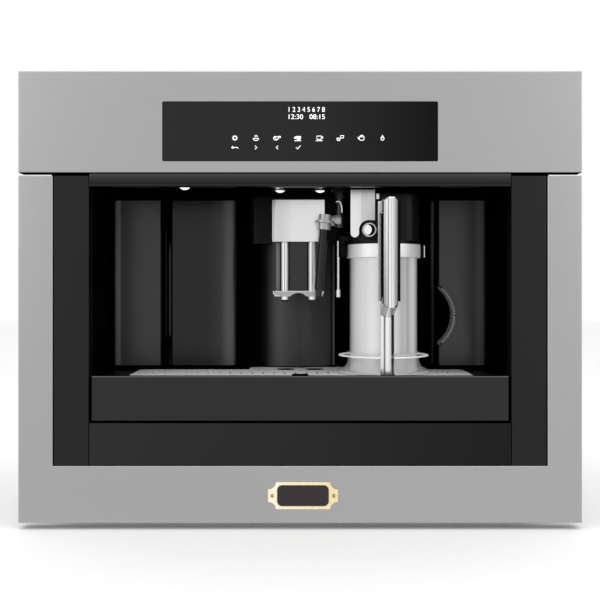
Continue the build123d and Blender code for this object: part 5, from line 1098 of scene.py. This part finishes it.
RECESS_ROD = ((154.4, 98.6, 156.0), (159.3, 104.0, 351.0))
LEFT_SEAL = ((-225.0, 107.0, 351.5), (-72.8, 111.0, 358.0))
RIGHT_SEAL = ((162.4, 104.0, 353.5), (225.0, 108.0, 358.0))
# the rod along the recess's right edge, with painted light in place of the edge's highlight
block_piece("recess_rod", [RECESS_ROD], 2.0, "machine", rod_painted_light)
block_piece("bay_seals", [LEFT_SEAL, RIGHT_SEAL], 0.3, "machine", niche_black)


# -------------------------------- casing screws

SIDE_FACE, BACK_FACE, TOP_FACE = 267.0, 378.0, 455.0
SIDE_SCREWS_Y, SIDE_SCREWS_Z = (22, 190, 358), (32, 440)
BACK_SCREWS_X, BACK_SCREWS_Z = 255, (32, 160, 300, 438)
TOP_SCREWS_X, TOP_SCREWS_Y = 252, (20, 190, 364)
MIDDLE_SCREWS_X, MIDDLE_SCREWS_Z = 90, (32, 438)
SCREW_RADIUS, SCREW_HEIGHT, SCREW_STEPS = 3.4, 1.7, 20
# as shares of the head's radius and height
SCREW_PROFILE = [(1.0, 0.0), (1.0, 0.35), (0.86, 0.8), (0.62, 1.0), (0.46, 1.0), (0.42, 0.4), (0.02, 0.4)]


def screw_head(geometry, place, direction):
    """A domed head with a round socket."""
    profile = [(radius * SCREW_RADIUS, height * SCREW_HEIGHT) for radius, height in SCREW_PROFILE]
    join_loops(geometry, circle_rings(profile, place, direction, SCREW_STEPS))


def case_screws():
    """All the screws of the side panels, the rear panel and the top cover."""
    geometry = bmesh.new()
    for side in (-1, 1):
        for y in SIDE_SCREWS_Y:
            for z in SIDE_SCREWS_Z:
                screw_head(geometry, (side * SIDE_FACE, y, z), (side, 0, 0))
        for z in BACK_SCREWS_Z:
            screw_head(geometry, (side * BACK_SCREWS_X, BACK_FACE, z), (0, 1, 0))
        for y in TOP_SCREWS_Y:
            screw_head(geometry, (side * TOP_SCREWS_X, y, TOP_FACE), (0, 0, 1))
        for z in MIDDLE_SCREWS_Z:
            screw_head(geometry, (side * MIDDLE_SCREWS_X, BACK_FACE, z), (0, 1, 0))
    mesh = mesh_from(geometry, "case_screws")
    smooth(mesh, TURNED_ANGLE)
    return mesh


add_piece("case_screws", case_screws(), "machine", rail_zinc)


# -------------------------------- floor, light and camera

CAMERA_PLACE = (0, -970 * MM, 247.7 * MM)
CAMERA_LENS = 54.154
SENSOR_WIDTH = 36
PRINCIPAL_POINT = (300.12, 287.8)
PHOTO_SIDE = 600
WORLD_LEVEL = 0.95
FLOOR_Z = -7.0
FLOOR_HALF_SIDE = 6000
FLOOR_WHITE_SHARE = 0.03
# name, place and aim in metres, width, height, watts
LIGHTS = [
    ("left_box", (-1.3, -1.1, 0.9), (0, 0, 0.25), 0.7, 1.2, 4),
    ("right_box", (1.3, -1.1, 0.9), (0, 0, 0.25), 0.7, 1.2, 4),
    ("top_box", (0, -0.3, 1.9), (0, 0.05, 0.2), 1.6, 0.9, 7),
]


def make_camera():
    """A level camera before the front, with the photo's principal point as its shift."""
    data = bpy.data.cameras.new("camera")
    data.lens = CAMERA_LENS
    data.sensor_width = SENSOR_WIDTH
    data.shift_x = (PHOTO_SIDE / 2 - PRINCIPAL_POINT[0]) / PHOTO_SIDE
    data.shift_y = (PRINCIPAL_POINT[1] - PHOTO_SIDE / 2) / PHOTO_SIDE
    camera = bpy.data.objects.new("camera", data)
    camera.location = CAMERA_PLACE
    camera.rotation_euler = (math.radians(90), 0, 0)
    bpy.context.scene.collection.objects.link(camera)
    bpy.context.scene.camera = camera


def soft_light(name, place, aim, width, height, power):
    """A wide lamp that points at a place."""
    data = bpy.data.lights.new(name, "AREA")
    data.shape = "RECTANGLE"
    data.size = width
    data.size_y = height
    data.energy = power
    light = bpy.data.objects.new(name, data)
    light.location = place
    light.rotation_euler = (Vector(aim) - Vector(place)).to_track_quat("-Z", "Y").to_euler()
    bpy.context.scene.collection.objects.link(light)


def with_mirror_rays(tree, path, value):
    """A value that becomes 1 for glossy and transmission rays."""
    for output in ("Is Glossy Ray", "Is Transmission Ray"):
        larger = tree.nodes.new("ShaderNodeMath")
        larger.operation = "MAXIMUM"
        tree.links.new(value, larger.inputs[0])
        tree.links.new(path.outputs[output], larger.inputs[1])
        value = larger.outputs[0]
    return value


def make_world():
    """A white studio: full white to the camera, in mirrors and through glass, a little less as light."""
    world = bpy.data.worlds.new("studio")
    world.use_nodes = True
    bpy.context.scene.world = world
    tree = world.node_tree
    backdrop = tree.nodes["Background"]
    backdrop.inputs["Color"].default_value = (1, 1, 1, 1)
    path = tree.nodes.new("ShaderNodeLightPath")
    ranged = tree.nodes.new("ShaderNodeMapRange")
    ranged.inputs["To Min"].default_value = WORLD_LEVEL
    ranged.inputs["To Max"].default_value = 1.0
    seen = with_mirror_rays(tree, path, path.outputs["Is Camera Ray"])
    tree.links.new(seen, ranged.inputs["Value"])
    tree.links.new(ranged.outputs["Result"], backdrop.inputs["Strength"])


def floor_share(tree):
    """How much of the floor is plain white: all of it in mirrors and glass, a share of it to the camera."""
    path = tree.nodes.new("ShaderNodeLightPath")
    scaled = tree.nodes.new("ShaderNodeMath")
    scaled.operation = "MULTIPLY"
    scaled.inputs[1].default_value = FLOOR_WHITE_SHARE
    tree.links.new(path.outputs["Is Camera Ray"], scaled.inputs[0])
    return with_mirror_rays(tree, path, scaled.outputs[0])


def make_floor():
    """A pale floor that keeps the object's shadow."""
    geometry = bmesh.new()
    corners = ((-1, -1), (1, -1), (1, 1), (-1, 1))
    side = FLOOR_HALF_SIDE
    geometry.faces.new([geometry.verts.new((x * side, y * side, FLOOR_Z)) for x, y in corners])
    mesh = mesh_from(geometry, "floor")
    floor = bpy.data.objects.new("floor", mesh)
    bpy.context.scene.collection.objects.link(floor)
    shading = Shading("floor_white", 0.99, 0.85, 0.0, 0.1)
    shading.grain(40, EVEN, 0.05, 0.01, 0.02)
    glow = shading.tree.nodes.new("ShaderNodeEmission")
    glow.inputs["Color"].default_value = (1, 1, 1, 1)
    mix = shading.tree.nodes.new("ShaderNodeMixShader")
    output = shading.tree.nodes["Material Output"]
    shading.tree.links.new(floor_share(shading.tree), mix.inputs["Fac"])
    shading.tree.links.new(shading.shader.outputs["BSDF"], mix.inputs[1])
    shading.tree.links.new(glow.outputs["Emission"], mix.inputs[2])
    shading.tree.links.new(mix.outputs["Shader"], output.inputs["Surface"])
    mesh.materials.append(shading.material)


make_camera()
make_world()
make_floor()
for light in LIGHTS:
    soft_light(*light)
